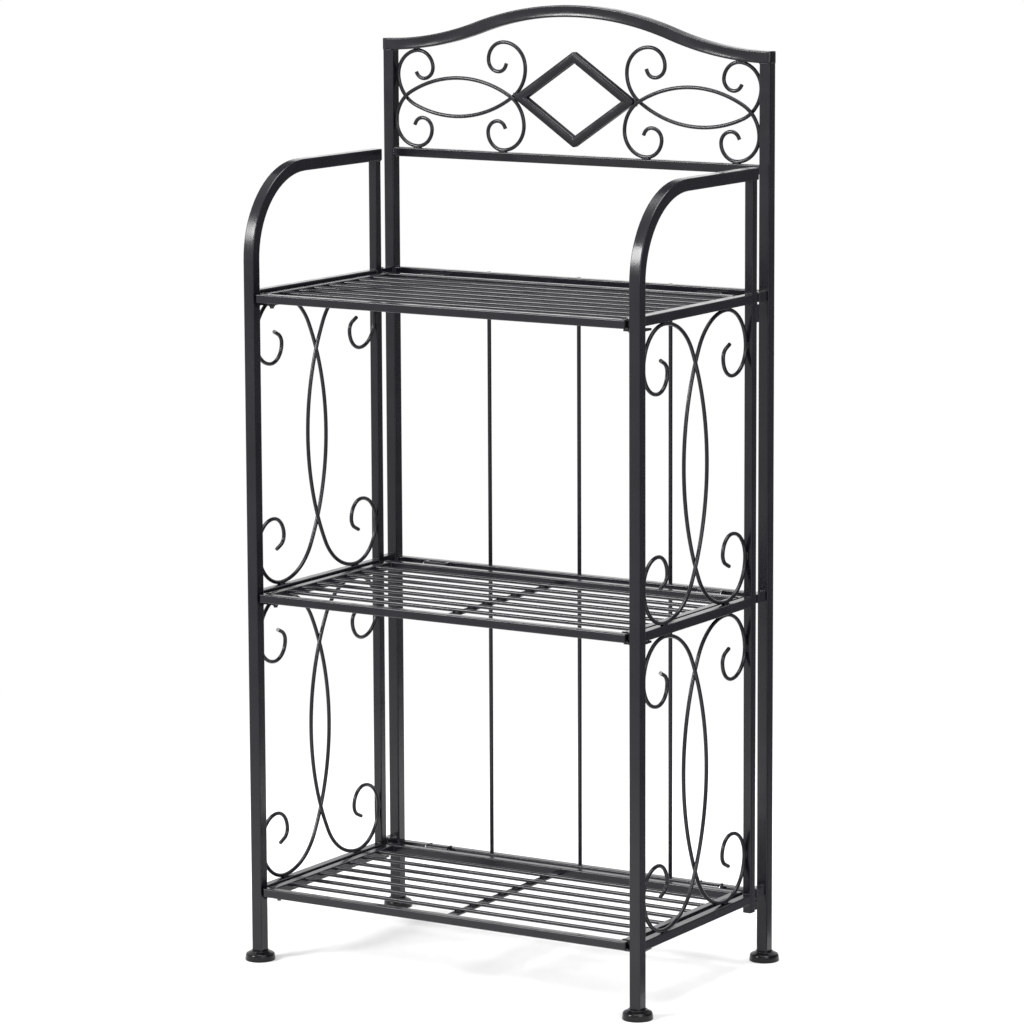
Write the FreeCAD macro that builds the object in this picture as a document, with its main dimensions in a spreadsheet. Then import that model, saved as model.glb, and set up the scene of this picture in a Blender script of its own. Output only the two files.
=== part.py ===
import FreeCAD, Part
import math
import os
import re
import Sketcher
from FreeCAD import Placement, Rotation, Vector

# Folding bakers rack: a back frame, two hinged side frames and three shelves that lift on hinges.
# Frame: origin on the floor under the middle of the four feet, X to the right, Y to the back, Z up.

SIZES = [
    ("rack_width", 663.6, "outer width over the posts"),
    ("post_spread", 370, "front post centre to back post centre, in depth"),
    ("post_size", 17.5, "square tube of the posts, arms and arched rail"),
    ("slim_size", 13.8, "square tube of the rails, crossbars and rear side posts"),
    ("shelf_tube", 12.7, "square tube of the shelf frames"),
    ("tube_wall", 1.2, "wall of every tube"),
    ("tube_corner", 1.8, "outer corner radius of every tube"),
    ("bottom_shelf_top", 110.5, "height of the bottom shelf"),
    ("shelf_spacing", 440, "height from one shelf to the next"),
    ("arm_top", 185.5, "top of the arm rails above the top shelf"),
    ("panel_rail_top", 1176.5, "height of the panel rail"),
    ("bend_radius", 129, "bend of the arms, at the tube's middle"),
    ("rear_post_bottom", 83, "lower end of the side frames' rear posts"),
    ("frame_top", 1340, "height of the back frame at its corners"),
    ("arch_rise", 57.5, "rise of the arched rail to its crown"),
    ("standoff_gap", 31.5, "rear side post to back post, the room for the raised shelves"),
    ("rest_gap", 0.3, "running clearance between pieces of different bodies"),
    ("bore_gap", 0.05, "radial clearance of a pin in its bore"),
    ("spindle_width", 6, "vertical spindles behind the crossbars, diameter"),
    ("crossbar_drop", 5.5, "lowest crossbar below its shelf's top"),
    ("crossbar_step", 5, "rise of each further crossbar against its shelf"),
    ("rail_step", 2.2, "rise of the side rails over the shelves with each level"),
    ("shelf_end_gap", 6.3, "shelf end to the front post, each side"),
    ("shelf_overhang", 1.6, "shelf front before the front of the posts"),
    ("wire_width", 5.8, "shelf wires, diameter"),
    ("wire_count", 7, "shelf wires"),
    ("strap_width", 15, "cross strap under the wires"),
    ("strap_thickness", 2.5, "thickness of the cross strap"),
    ("scroll_width", 5.7, "scroll wire, diameter"),
    ("side_lens", 28, "half width of the side scrolls' lens"),
    ("side_loop", 58, "first loop radius of the side scrolls"),
    ("side_tail", 11, "straight end of a side scroll's curl"),
    ("side_lens_turn", 29, "turn of a side scroll's long arc, degrees"),
    ("curl_end_turn", 65, "turn of a scroll's last arc, degrees"),
    ("panel_drop", 67.5, "middle of a back scroll above the middle of its loops"),
    ("panel_loop", 37, "first loop radius of the back scrolls"),
    ("panel_tail", 3.5, "straight end of a back scroll's curl"),
    ("panel_lens_turn", 30, "turn of a back scroll's long arc, degrees"),
    ("panel_half_span", 112.5, "half length of a back scroll"),
    ("panel_tilt", 6.3, "tilt of the upper back scrolls, degrees"),
    ("diamond_half_height", 71, "diamond's half height"),
    ("diamond_round", 4, "rounding of the diamond's corners"),
    ("hinge_pin_width", 6, "side hinge pins, diameter"),
    ("hinge_eye", 12.4, "side hinge eye, outer diameter"),
    ("hinge_arm", 12, "width of a standoff block and a hinge lug"),
    ("standoff_height", 12.7, "height of a standoff block"),
    ("standoff_lift", 4, "standoff block above the shelf top"),
    ("lug_gap", 4, "standoff block to the lug below it"),
    ("upper_lug_height", 25, "length of the upper hinge lugs"),
    ("lower_lug_height", 13, "length of the lower hinge lugs"),
    ("pin_head_width", 9, "head of a hinge pin, diameter"),
    ("pin_head_height", 2, "height of a pin's head"),
    ("leaf_width", 32, "width of a shelf hinge leaf"),
    ("leaf_thickness", 3, "thickness of a shelf hinge leaf"),
    ("barrel_width", 10, "shelf hinge barrel, outer diameter"),
    ("leaf_pin_width", 5, "shelf hinge pin, diameter"),
    ("leaf_place", 238, "middle of a shelf hinge from the rack's middle"),
    ("leaf_setback", 8, "shelf hinge pin in front of the back posts"),
    ("ear_thickness", 3, "thickness of a shelf hinge ear"),
    ("ear_width", 10.5, "height of a shelf hinge ear"),
    ("ear_eye", 11, "eye of a shelf hinge ear, outer diameter"),
    ("gusset_drop", 2.2, "gusset below the rails, the height of its stud's head"),
    ("gusset_thickness", 3, "thickness of a corner gusset"),
    ("gusset_reach", 18.5, "gusset from the post's inner face to its inner edge"),
    ("gusset_front", 0.5, "gusset's front corner before the post's rear face"),
    ("gusset_side", 20, "gusset's inner edge behind the post's rear face"),
    ("gusset_tail", 30, "gusset's rear corner behind the post's rear face"),
    ("gusset_root", 10, "gusset's weld along the post's rear face"),
    ("stud_width", 6, "gusset stud, diameter"),
    ("stud_head_width", 9.5, "head of a gusset stud, diameter"),
    ("stud_length", 5, "gusset stud below its plate"),
    ("stud_collar_width", 11, "cone under a gusset round its stud, diameter at the plate"),
    ("stud_collar_height", 3.5, "height of that cone"),
    ("stud_place", 12.5, "gusset stud from the post's inner face"),
    ("stud_setback", 11, "gusset stud behind the post's rear face"),
    ("foot_height", 14.3, "height of a foot"),
    ("foot_width", 44.5, "foot at the floor, diameter"),
    ("foot_shoulder_width", 42.7, "foot at its shoulder, diameter"),
    ("foot_shoulder_height", 10, "height of the foot's shoulder"),
    ("foot_neck_width", 27, "neck of a foot, diameter"),
    ("foot_neck_height", 0.8, "height of the neck"),
    ("foot_floor", 5, "foot under the tube's end"),
    ("foot_round", 4.5, "rounding of the foot's shoulder"),
]

# Radii of the quarter turns that follow a scroll's first loop, as shares of that loop
SIDE_CURL_SHARES = (0.665, 0.475, 0.267)
PANEL_CURL_SHARES = (0.7, 0.46, 0.36)
# Rear corner of a gusset, as a share of its weld on the post
GUSSET_CORNER_SHARE = 0.9

LEVELS = ("bottom", "middle", "top")
SIDES = (("left", -1), ("right", 1))
QUARTER = math.pi / 2

doc = FreeCAD.newDocument("bakers_rack")
sheet = doc.addObject("Spreadsheet::Sheet", "Sizes")
for row, (alias, number, meaning) in enumerate(SIZES, 1):
    sheet.set(f"A{row}", meaning)
    sheet.set(f"B{row}", str(number))
    sheet.setAlias(f"B{row}", alias)
doc.recompute()
ALIASES = {alias for alias, number, meaning in SIZES}


def bound(text):
    """An expression in plain size names, with each name led to its cell."""
    return re.sub(r"[a-z_]+", lambda word: ("Sizes." if word[0] in ALIASES else "") + word[0], text)


def value(text):
    """The number that an expression in size names comes to now."""
    return float(sheet.evalExpression(bound(text)))


# Places that several pieces share, as expressions of the sizes

POST_X = "(rack_width - post_size) / 2"
FRONT_Y = "(-post_spread / 2)"
BACK_Y = "(post_spread / 2)"
BACK_FACE_Y = f"({BACK_Y} - post_size / 2)"
REAR_FACE_Y = f"({BACK_FACE_Y} - standoff_gap)"
REAR_POST_Y = f"({REAR_FACE_Y} - slim_size / 2)"
RAIL_FRONT_Y = f"({FRONT_Y} + post_size / 2)"
RAIL_REAR_Y = f"({REAR_FACE_Y} - slim_size)"
HINGE_Y = f"({REAR_FACE_Y} + hinge_eye / 2 + rest_gap)"
LEAF_Y = f"({BACK_FACE_Y} - leaf_setback)"
SHELF_HALF = "(rack_width / 2 - post_size - shelf_end_gap)"
SHELF_FRONT_Y = f"({FRONT_Y} - post_size / 2 - shelf_overhang)"
SHELF_INSIDE = f"({REAR_FACE_Y} - {SHELF_FRONT_Y} - 2 * shelf_tube)"
PANEL_RAIL_Z = "(panel_rail_top - slim_size / 2)"
ARCH_UNDER_Z = "(frame_top - post_size)"


def shelf_top(level):
    return f"(bottom_shelf_top + {level} * shelf_spacing)"


def rail_top(level):
    return f"({shelf_top(level)} - rest_gap + {level} * rail_step)"


def crossbar_top(level):
    return f"({shelf_top(level)} - crossbar_drop + {level} * crossbar_step)"


ARM_RAIL_TOP = f"({shelf_top(len(LEVELS) - 1)} + arm_top)"


# Turns that lay a body's own Z axis along the rack's axes

ALONG_Z = Rotation()
ALONG_X = Rotation(Vector(0, 1, 0), 90)
ALONG_Y = Rotation(Vector(1, 0, 0), -90)

nodes = {}


def keep(label, thing):
    thing.Label = label
    nodes[label] = thing
    return thing


def put(thing, place, turn=ALONG_Z):
    """Turns a piece and binds its place to three expressions."""
    thing.Placement = Placement(Vector(), turn)
    for axis, text in zip("xyz", place):
        thing.setExpression(f"Placement.Base.{axis}", bound(text))


def plane(body, role):
    return [item for item in body.Origin.OriginFeatures if item.Role == role][0]


def new_sketch(body, name, role):
    sketch = body.newObject("Sketcher::SketchObject", name)
    sketch.AttachmentSupport = (plane(body, role), "")
    sketch.MapMode = "FlatFace"
    return sketch


def limit(sketch, kind, where, text):
    """Adds a dimension and binds it to an expression."""
    number = sketch.addConstraint(Sketcher.Constraint(kind, *where, value(text)))
    sketch.setExpression(f"Constraints[{number}]", bound(text))


def join(sketch, first, pairs):
    for kind, a, a_end, b, b_end in pairs:
        sketch.addConstraint(Sketcher.Constraint(kind, first + a, a_end, first + b, b_end))


def line(x0, y0, x1, y1):
    return Part.LineSegment(Vector(x0, y0, 0), Vector(x1, y1, 0))


def arc(x, y, radius, start, end):
    return Part.ArcOfCircle(Part.Circle(Vector(x, y, 0), Vector(0, 0, 1), radius), start, end)


def add_square(sketch, side):
    """A square about the origin."""
    half = value(side) / 2
    corners = [(-half, -half), (half, -half), (half, half), (-half, half)]
    first = sketch.GeometryCount
    for index, corner in enumerate(corners):
        sketch.addGeometry(line(*corner, *corners[(index + 1) % 4]))
    join(sketch, first, [("Coincident", i, 2, (i + 1) % 4, 1) for i in range(4)])
    for index in (0, 2):
        sketch.addConstraint(Sketcher.Constraint("Horizontal", first + index))
        sketch.addConstraint(Sketcher.Constraint("Vertical", first + index + 1))
    sketch.addConstraint(Sketcher.Constraint("Equal", first, first + 1))
    sketch.addConstraint(Sketcher.Constraint("Symmetric", first, 1, first + 2, 1, -1, 1))
    limit(sketch, "DistanceX", (first, 1, first, 2), side)


def add_round_square(sketch, side, corner):
    """A square about the origin with round corners: lines and quarter arcs in turn."""
    half, radius = value(side) / 2, value(corner)
    flat = half - radius
    first = sketch.GeometryCount
    for turn in range(4):
        ends = [Rotation(Vector(0, 0, 1), 90 * turn).multVec(Vector(x, -half, 0)) for x in (-flat, flat)]
        middle = Rotation(Vector(0, 0, 1), 90 * turn).multVec(Vector(flat, -flat, 0))
        sketch.addGeometry(Part.LineSegment(*ends))
        sketch.addGeometry(arc(middle.x, middle.y, radius, (turn - 1) * QUARTER, turn * QUARTER))
    join(sketch, first, [("Tangent", i, 2, (i + 1) % 8, 1) for i in range(8)])
    for index in (0, 4):
        sketch.addConstraint(Sketcher.Constraint("Horizontal", first + index))
        sketch.addConstraint(Sketcher.Constraint("Vertical", first + index + 2))
    for index in (3, 5, 7):
        sketch.addConstraint(Sketcher.Constraint("Equal", first + 1, first + index))
    sketch.addConstraint(Sketcher.Constraint("Equal", first, first + 2))
    sketch.addConstraint(Sketcher.Constraint("Symmetric", first + 1, 3, first + 5, 3, -1, 1))
    limit(sketch, "Radius", (first + 1,), corner)
    limit(sketch, "DistanceX", (first, 1, first, 2), f"{side} - 2 * {corner}")


def tube_section(body, size, role):
    section = new_sketch(body, "Section", role)
    add_round_square(section, size, "tube_corner")
    add_square(section, f"({size} - 2 * tube_wall)")
    return section


def pad(body, sketch, length):
    feature = body.newObject("PartDesign::Pad", "Pad")
    feature.Profile = sketch
    feature.setExpression("Length", bound(length))
    return feature


def straight_tube(label, size, length, place, turn=ALONG_Z):
    """A square tube from its place along the turned Z axis."""
    body = doc.addObject("PartDesign::Body", label)
    pad(body, tube_section(body, size, "XY_Plane"), length)
    put(body, place, turn)
    return body


def pipe(body, section, spine):
    feature = body.newObject("PartDesign::AdditivePipe", "Pipe")
    feature.Profile = section
    feature.Spine = (spine, [f"Edge{i + 1}" for i in range(spine.GeometryCount)])
    return feature


def eye_plate(label, reach, eye, bore, width, thickness, place, turn):
    """A plate that ends in a bored round eye: the eye is at the origin, the root lies along +X."""
    body = doc.addObject("PartDesign::Body", label)
    sketch = new_sketch(body, "Outline", "XY_Plane")
    radius, half, root = value(eye) / 2, value(width) / 2, value(reach)
    start = math.asin(half / radius)
    neck = radius * math.cos(start)
    sketch.addGeometry(arc(0, 0, radius, start, 2 * math.pi - start))
    sketch.addGeometry(line(neck, -half, root, -half))
    sketch.addGeometry(line(root, -half, root, half))
    sketch.addGeometry(line(root, half, neck, half))
    join(sketch, 0, [("Coincident", i, 2, (i + 1) % 4, 1) for i in range(4)])
    sketch.addConstraint(Sketcher.Constraint("Coincident", 0, 3, -1, 1))
    sketch.addConstraint(Sketcher.Constraint("Symmetric", 2, 1, 2, 2, -1))
    sketch.addConstraint(Sketcher.Constraint("Horizontal", 1))
    sketch.addConstraint(Sketcher.Constraint("Horizontal", 3))
    limit(sketch, "Radius", (0,), f"{eye} / 2")
    limit(sketch, "DistanceY", (2, 1, 2, 2), width)
    limit(sketch, "DistanceX", (-1, 1, 2, 1), reach)
    if bore:
        hole = sketch.addGeometry(Part.Circle(Vector(0, 0, 0), Vector(0, 0, 1), value(bore) / 2))
        sketch.addConstraint(Sketcher.Constraint("Coincident", hole, 3, -1, 1))
        limit(sketch, "Radius", (hole,), f"({bore}) / 2")
    pad(body, sketch, thickness)
    put(body, place, turn)
    return body


def turned(label, outline, place, turn=ALONG_Z):
    """A turned piece: an outline of (radius, height) expressions spun about its own Z axis."""
    body = doc.addObject("PartDesign::Body", label)
    sketch = new_sketch(body, "Outline", "XZ_Plane")
    points = [(value(radius), value(height)) for radius, height in outline]
    count = len(points)
    for index, point in enumerate(points):
        sketch.addGeometry(line(*point, *points[(index + 1) % count]))
    join(sketch, 0, [("Coincident", i, 2, (i + 1) % count, 1) for i in range(count)])
    for index, (radius, height) in enumerate(outline):
        for kind, text in (("DistanceX", radius), ("DistanceY", height)):
            if value(text) == 0:
                axis = -2 if kind == "DistanceX" else -1
                sketch.addConstraint(Sketcher.Constraint("PointOnObject", index, 1, axis))
            else:
                limit(sketch, kind, (-1, 1, index, 1), text)
    feature = body.newObject("PartDesign::Revolution", "Spin")
    feature.Profile = sketch
    feature.ReferenceAxis = (sketch, ["V_Axis"])
    put(body, place, turn)
    return body


def headed_pin(label, width, head, head_height, length, place, turn=ALONG_Z):
    """A pin along +Z from under its head, which lies below the origin."""
    outline = [("0", f"-{head_height}"), (f"{head} / 2", f"-{head_height}"), (f"{head} / 2", "0"),
               (f"{width} / 2", "0"), (f"{width} / 2", length), ("0", length)]
    return turned(label, outline, place, turn)


def group(label, members):
    thing = doc.addObject("Part::Compound", label)
    thing.Links = members
    return keep(label, thing)


# Scrolls: a bow of round wire in its own plane, written as turns of a path that starts at the
# middle of its long arc and always bends the same way, and its mirror image about that middle.

def bow_path(half_span, drop, lens_turn, radii):
    """Half a bow as (radius, turn) arcs. The long arc and the shoulder together turn a quarter,
    run half_span along and drop to the side, which fixes both of their radii. The last arc turns less."""
    cosine, sine = math.cos(lens_turn), math.sin(lens_turn)
    across, along = 1 - cosine, 1 - sine
    spread = across * along - cosine * sine
    long_radius = (drop * along - half_span * cosine) / spread
    shoulder = (half_span * across - drop * sine) / spread
    curl = [(r, QUARTER) for r in radii[:-1]] + [(radii[-1], math.radians(value("curl_end_turn")))]
    return [(long_radius, lens_turn), (shoulder, QUARTER - lens_turn)] + curl


def walk(turns):
    """The arcs of half a bow as (centre, radius, start heading, end heading) in its plane,
    from the origin, heading along +X and bending towards -Y."""
    heading, x, y = 0, 0, 0
    arcs = []
    for radius, turn in turns:
        centre = (x - radius * math.sin(heading), y - radius * math.cos(heading))
        arcs.append((centre, radius, heading, heading + turn))
        heading += turn
        x = centre[0] + radius * math.sin(heading)
        y = centre[1] + radius * math.cos(heading)
    return arcs


def bow(turns, tail, wire):
    """The bow's solid, in the XY plane, with its middle at the origin and a straight tail at each end."""
    arcs = walk(turns)

    def point(piece, heading, side):
        centre, radius = piece[0], piece[1]
        return Vector(side * (centre[0] + radius * math.sin(heading)), centre[1] + radius * math.cos(heading), 0)

    def edge(piece, side):
        begin, end = piece[2], piece[3]
        marks = [point(piece, heading, side) for heading in (begin, (begin + end) / 2, end)]
        return Part.Arc(*(marks if side > 0 else marks[::-1])).toShape()

    def straight(side):
        end, heading = point(arcs[-1], arcs[-1][3], side), arcs[-1][3]
        tip = end + Vector(side * math.cos(heading), -math.sin(heading), 0) * tail
        return Part.LineSegment(*((end, tip) if side > 0 else (tip, end))).toShape()

    edges = [straight(-1)] + [edge(piece, -1) for piece in arcs[::-1]]
    edges += [edge(piece, 1) for piece in arcs] + [straight(1)]
    path = Part.Wire(edges)
    start = edges[0].valueAt(edges[0].FirstParameter)
    tangent = edges[0].tangentAt(edges[0].FirstParameter)
    section = Part.Wire(Part.makeCircle(wire / 2, start, tangent))
    solid = path.makePipeShell([section], True, False)
    expected = path.Length * math.pi * wire ** 2 / 4
    print("scroll wire length", round(path.Length, 1), "volume ratio", round(solid.Volume / expected, 5))
    return solid


def feature(label, shape, placement):
    thing = doc.addObject("Part::Feature", label)
    thing.Shape = shape
    thing.Placement = placement
    thing.Label = label
    return thing


def frame_turn(along, side):
    """The turn that lays a bow's own X axis along one direction and its Y axis along another."""
    return Rotation(along, side, along.cross(side), "XYZ")


# Back frame

def back_posts():
    for side, sign in SIDES:
        length = f"{ARCH_UNDER_Z} - foot_floor"
        place = (f"{sign} * {POST_X}", BACK_Y, "foot_floor")
        keep(f"back_post_{side}", straight_tube(f"back_post_{side}", "post_size", length, place))


def arch_sweep():
    """Half turn and radius of the arched rail's three equal arcs."""
    sweep = 2 * math.atan(value("2 * arch_rise / rack_width"))
    return sweep, value("rack_width / 4") / math.sin(sweep)


def arched_top_rail():
    """Three equal arcs: a hollow one at each post and the crown between them."""
    body = doc.addObject("PartDesign::Body", "arched_top_rail")
    section = tube_section(body, "post_size", "YZ_Plane")
    spine = new_sketch(body, "Spine", "XZ_Plane")
    width, rise = value("rack_width"), value("arch_rise")
    sweep, radius = arch_sweep()
    spine.addGeometry(arc(0, radius, radius, -QUARTER, sweep - QUARTER))
    spine.addGeometry(arc(width / 2, rise - radius, radius, QUARTER - sweep, QUARTER + sweep))
    spine.addGeometry(arc(width, radius, radius, -QUARTER - sweep, -QUARTER))
    join(spine, 0, [("Tangent", 0, 2, 1, 2), ("Tangent", 1, 1, 2, 1)])
    spine.addConstraint(Sketcher.Constraint("Coincident", 0, 1, -1, 1))
    spine.addConstraint(Sketcher.Constraint("PointOnObject", 0, 3, -2))
    spine.addConstraint(Sketcher.Constraint("PointOnObject", 2, 2, -1))
    spine.addConstraint(Sketcher.Constraint("Vertical", 2, 2, 2, 3))
    spine.addConstraint(Sketcher.Constraint("Equal", 0, 1))
    spine.addConstraint(Sketcher.Constraint("Equal", 0, 2))
    limit(spine, "DistanceX", (0, 1, 2, 2), "rack_width")
    limit(spine, "DistanceY", (1, 3, 0, 3), "(rack_width ^ 2 / 4 + arch_rise ^ 2) / (2 * arch_rise) - arch_rise")
    pipe(body, section, spine)
    put(body, ("-rack_width / 2", BACK_Y, "frame_top - post_size / 2"))
    keep("arched_top_rail", body)


def panel_rail():
    length = "rack_width - 2 * post_size"
    place = ("post_size - rack_width / 2", BACK_Y, PANEL_RAIL_Z)
    keep("panel_rail", straight_tube("panel_rail", "slim_size", length, place, ALONG_X))


def panel_scrolls_and_diamond():
    """Two bows on each side, crossing twice, and the diamond that sits in their inner crossings.
    The lower bow's loops lie on the panel rail, the upper bow's outer loop touches the arched rail."""
    wire, loop, half_span = value("scroll_width"), value("panel_loop"), value("panel_half_span")
    radii = [loop] + [loop * share for share in PANEL_CURL_SHARES]
    lens_turn, tilt = math.radians(value("panel_lens_turn")), math.radians(value("panel_tilt"))
    turns = bow_path(half_span, value("panel_drop"), lens_turn, radii)
    shape = bow(turns, value("panel_tail"), wire)
    half_width, back_y = value("rack_width / 2"), value(BACK_Y)
    outer_x = half_width - value("post_size") - wire / 2
    middle_x = outer_x - half_span
    crown_z = value("panel_rail_top") + wire / 2 + loop + value("panel_drop")

    arch_radius = arch_sweep()[1]
    arch_z = value("frame_top - post_size / 2") + arch_radius
    clear = arch_radius + value("post_size / 2") + loop + wire / 2
    loop_x = outer_x - loop
    loop_z = arch_z - math.sqrt(clear ** 2 - (half_width - loop_x) ** 2)
    along, drop = half_span - loop, value("panel_drop")
    tilted_x = loop_x - along * math.cos(tilt) - drop * math.sin(tilt)
    hollow_z = loop_z + along * math.sin(tilt) - drop * math.cos(tilt)

    for side, sign in SIDES:
        front = Vector(sign * middle_x, back_y - wire / 2, crown_z)
        lower = Placement(front, frame_turn(Vector(sign, 0, 0), Vector(0, 0, 1)))
        keep(f"panel_scroll_lower_{side}", feature(f"panel_scroll_lower_{side}", shape, lower))
        rear = Vector(sign * tilted_x, back_y + wire / 2, hollow_z)
        outward = Vector(sign * math.cos(tilt), 0, -math.sin(tilt))
        downward = Vector(-sign * math.sin(tilt), 0, -math.cos(tilt))
        upper = Placement(rear, frame_turn(outward, downward))
        keep(f"panel_scroll_upper_{side}", feature(f"panel_scroll_upper_{side}", shape, upper))

    (reach_x, reach_y), shoulder = walk(turns)[1][:2]
    lower_x, lower_z = middle_x - reach_x, crown_z + reach_y
    upper_x = tilted_x - reach_x * math.cos(tilt) - reach_y * math.sin(tilt)
    upper_z = hollow_z + reach_x * math.sin(tilt) - reach_y * math.cos(tilt)
    half_gap = math.hypot(upper_x - lower_x, upper_z - lower_z) / 2
    lean = math.atan2(upper_x - lower_x, upper_z - lower_z)
    middle_z = (lower_z + upper_z) / 2 + math.sqrt(shoulder ** 2 - half_gap ** 2) * math.sin(lean)

    rounding, tall = value("diamond_round"), value("diamond_half_height")

    def corner_x(centre_x, centre_z):
        """Middle of a round corner that touches the outside of a bow's shoulder at the crossing's height."""
        return centre_x - math.sqrt((shoulder + wire / 2 + rounding) ** 2 - (middle_z - centre_z) ** 2)

    corner = min(corner_x(lower_x, lower_z), corner_x(upper_x, upper_z))
    part = (rounding / tall) ** 2
    wide = (corner + math.sqrt(rounding ** 2 + part * (corner ** 2 - rounding ** 2))) / (1 - part)
    diamond(wide, tall, middle_z)


def diamond(half_width, half_height, middle_z):
    """Four mitred lengths of square tube with round outer corners."""
    tube, wall, rounding = value("slim_size"), value("tube_wall"), value("diamond_round")
    slant = math.hypot(half_width, half_height)

    def rhombus(inset):
        wide, tall = half_width - inset * slant / half_height, half_height - inset * slant / half_width
        corners = [Vector(wide, 0, 0), Vector(0, 0, tall), Vector(-wide, 0, 0), Vector(0, 0, -tall)]
        return Part.Face(Part.makePolygon(corners + corners[:1]))

    def ring(outer, inner, corner, depth):
        solid = rhombus(outer).extrude(Vector(0, depth, 0))
        upright = [edge for edge in solid.Edges if edge.BoundBox.YLength > depth / 2]
        return solid.makeFillet(corner, upright).cut(rhombus(inner).extrude(Vector(0, depth, 0)))

    bar = ring(0, tube, rounding, tube)
    hollow = ring(wall, tube - wall, rounding - wall, tube - 2 * wall)
    hollow.translate(Vector(0, wall, 0))
    place = Placement(Vector(0, value(BACK_Y) - tube / 2, middle_z), Rotation())
    keep("panel_diamond", feature("panel_diamond", bar.cut(hollow), place))
    print("diamond half width", round(half_width, 2), "middle height", round(middle_z, 2))


def crossbars_and_spindles():
    length = "rack_width - 2 * post_size"
    for level, name in enumerate(LEVELS):
        height = f"{crossbar_top(level)} - slim_size / 2"
        place = ("post_size - rack_width / 2", BACK_Y, height)
        keep(f"back_crossbar_{name}", straight_tube(f"back_crossbar_{name}", "slim_size", length, place, ALONG_X))
    spindles = []
    for quarter in (-1, 0, 1):
        rod = doc.addObject("Part::Cylinder", f"spindle_{quarter + 2}")
        rod.setExpression("Radius", bound("spindle_width / 2"))
        rod.setExpression("Height", bound(f"{crossbar_top(2)} - {crossbar_top(0)} + slim_size"))
        place = (f"{quarter} * (rack_width / 2 - post_size) / 2", f"{BACK_Y} + (slim_size + spindle_width) / 2",
                 f"{crossbar_top(0)} - slim_size")
        put(rod, place)
        spindles.append(rod)
    group("back_spindles", spindles)


def side_hinge_hardware():
    """Standoff blocks at every shelf level, and the vertical pins of the upper and lower hinges."""
    blocks, pins = [], []
    towards_back = Rotation(Vector(0, 0, 1), 90)
    for side, sign in SIDES:
        for level, name in enumerate(LEVELS):
            hinged = name != "middle"
            bottom = f"{shelf_top(level)} + standoff_lift - standoff_height"
            place = (f"{sign} * {POST_X}", HINGE_Y, bottom)
            blocks.append(eye_plate(f"standoff_{side}_{name}", f"{BACK_FACE_Y} - {HINGE_Y}", "hinge_eye",
                                    "hinge_pin_width" if hinged else "", "hinge_arm", "standoff_height",
                                    place, towards_back))
            if not hinged:
                continue
            lug = "upper_lug_height" if name == "top" else "lower_lug_height"
            top = f"{shelf_top(level)} + standoff_lift"
            place = (f"{sign} * {POST_X}", HINGE_Y, top)
            pins.append(headed_pin(f"hinge_pin_{side}_{name}", "hinge_pin_width", "pin_head_width",
                                   "pin_head_height", f"standoff_height + lug_gap + {lug}", place,
                                   Rotation(Vector(1, 0, 0), 180)))
    group("hinge_standoffs", blocks)
    group("side_hinge_pins", pins)


def leaf_places():
    """Middle X and pin height of every shelf hinge."""
    for level in range(len(LEVELS)):
        for sign in (-1, 1):
            yield level, sign, f"{sign} * leaf_place", f"{shelf_top(level)} - shelf_tube / 2"


def shelf_hinge_hardware():
    """Pairs of ears on the crossbars and the cross pins between them."""
    ears, pins = [], []
    ear_turn = Rotation(Vector(0, 1, 0), Vector(0, 0, 1), Vector(1, 0, 0), "XYZ")
    span = "(leaf_width + 2 * rest_gap + 2 * ear_thickness)"
    for level, sign, middle, height in leaf_places():
        reach = f"{BACK_Y} - slim_size / 2 - {LEAF_Y}"
        for number, start in enumerate((f"{middle} - {span} / 2", f"{middle} + {span} / 2 - ear_thickness")):
            ears.append(eye_plate(f"ear_{level}_{sign + 1}_{number}", reach, "ear_eye", "leaf_pin_width",
                                  "ear_width", "ear_thickness", (start, LEAF_Y, height), ear_turn))
        inward = Rotation(Vector(0, 1, 0), -90 * sign)
        pins.append(headed_pin(f"leaf_pin_{level}_{sign + 1}", "leaf_pin_width", "pin_head_width",
                               "pin_head_height", span, (f"{middle} + {sign} * {span} / 2", LEAF_Y, height), inward))
    group("shelf_hinge_ears", ears)
    group("shelf_hinge_pins", pins)


def foot(label, x, y):
    """A moulded foot: a flared base, a round shoulder and a neck with a square socket."""
    outline = [("0", "0"), ("foot_width / 2", "0"), ("foot_shoulder_width / 2", "foot_shoulder_height"),
               ("foot_neck_width / 2", "foot_height - foot_neck_height"), ("foot_neck_width / 2", "foot_height"),
               ("0", "foot_height")]
    body = turned(label, outline, (x, y, "0"))
    doc.recompute()
    shoulder = value("foot_shoulder_height")
    spun = body.Tip
    names = [f"Edge{i + 1}" for i, edge in enumerate(spun.Shape.Edges)
             if edge.BoundBox.ZLength < shoulder / 2 and abs(edge.CenterOfMass.z - shoulder) < shoulder / 4]
    rounding = body.newObject("PartDesign::Fillet", "Rounding")
    rounding.Base = (spun, names)
    rounding.setExpression("Radius", bound("foot_round"))
    doc.recompute()
    socket = new_sketch(body, "Socket", "XY_Plane")
    add_round_square(socket, "post_size", "tube_corner")
    socket.setExpression("AttachmentOffset.Base.z", bound("foot_floor"))
    pocket = body.newObject("PartDesign::Pocket", "Pocket")
    pocket.Profile = socket
    pocket.Reversed = True
    pocket.setExpression("Length", bound("foot_height - foot_floor"))
    keep(label, body)


# Side frames

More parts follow.
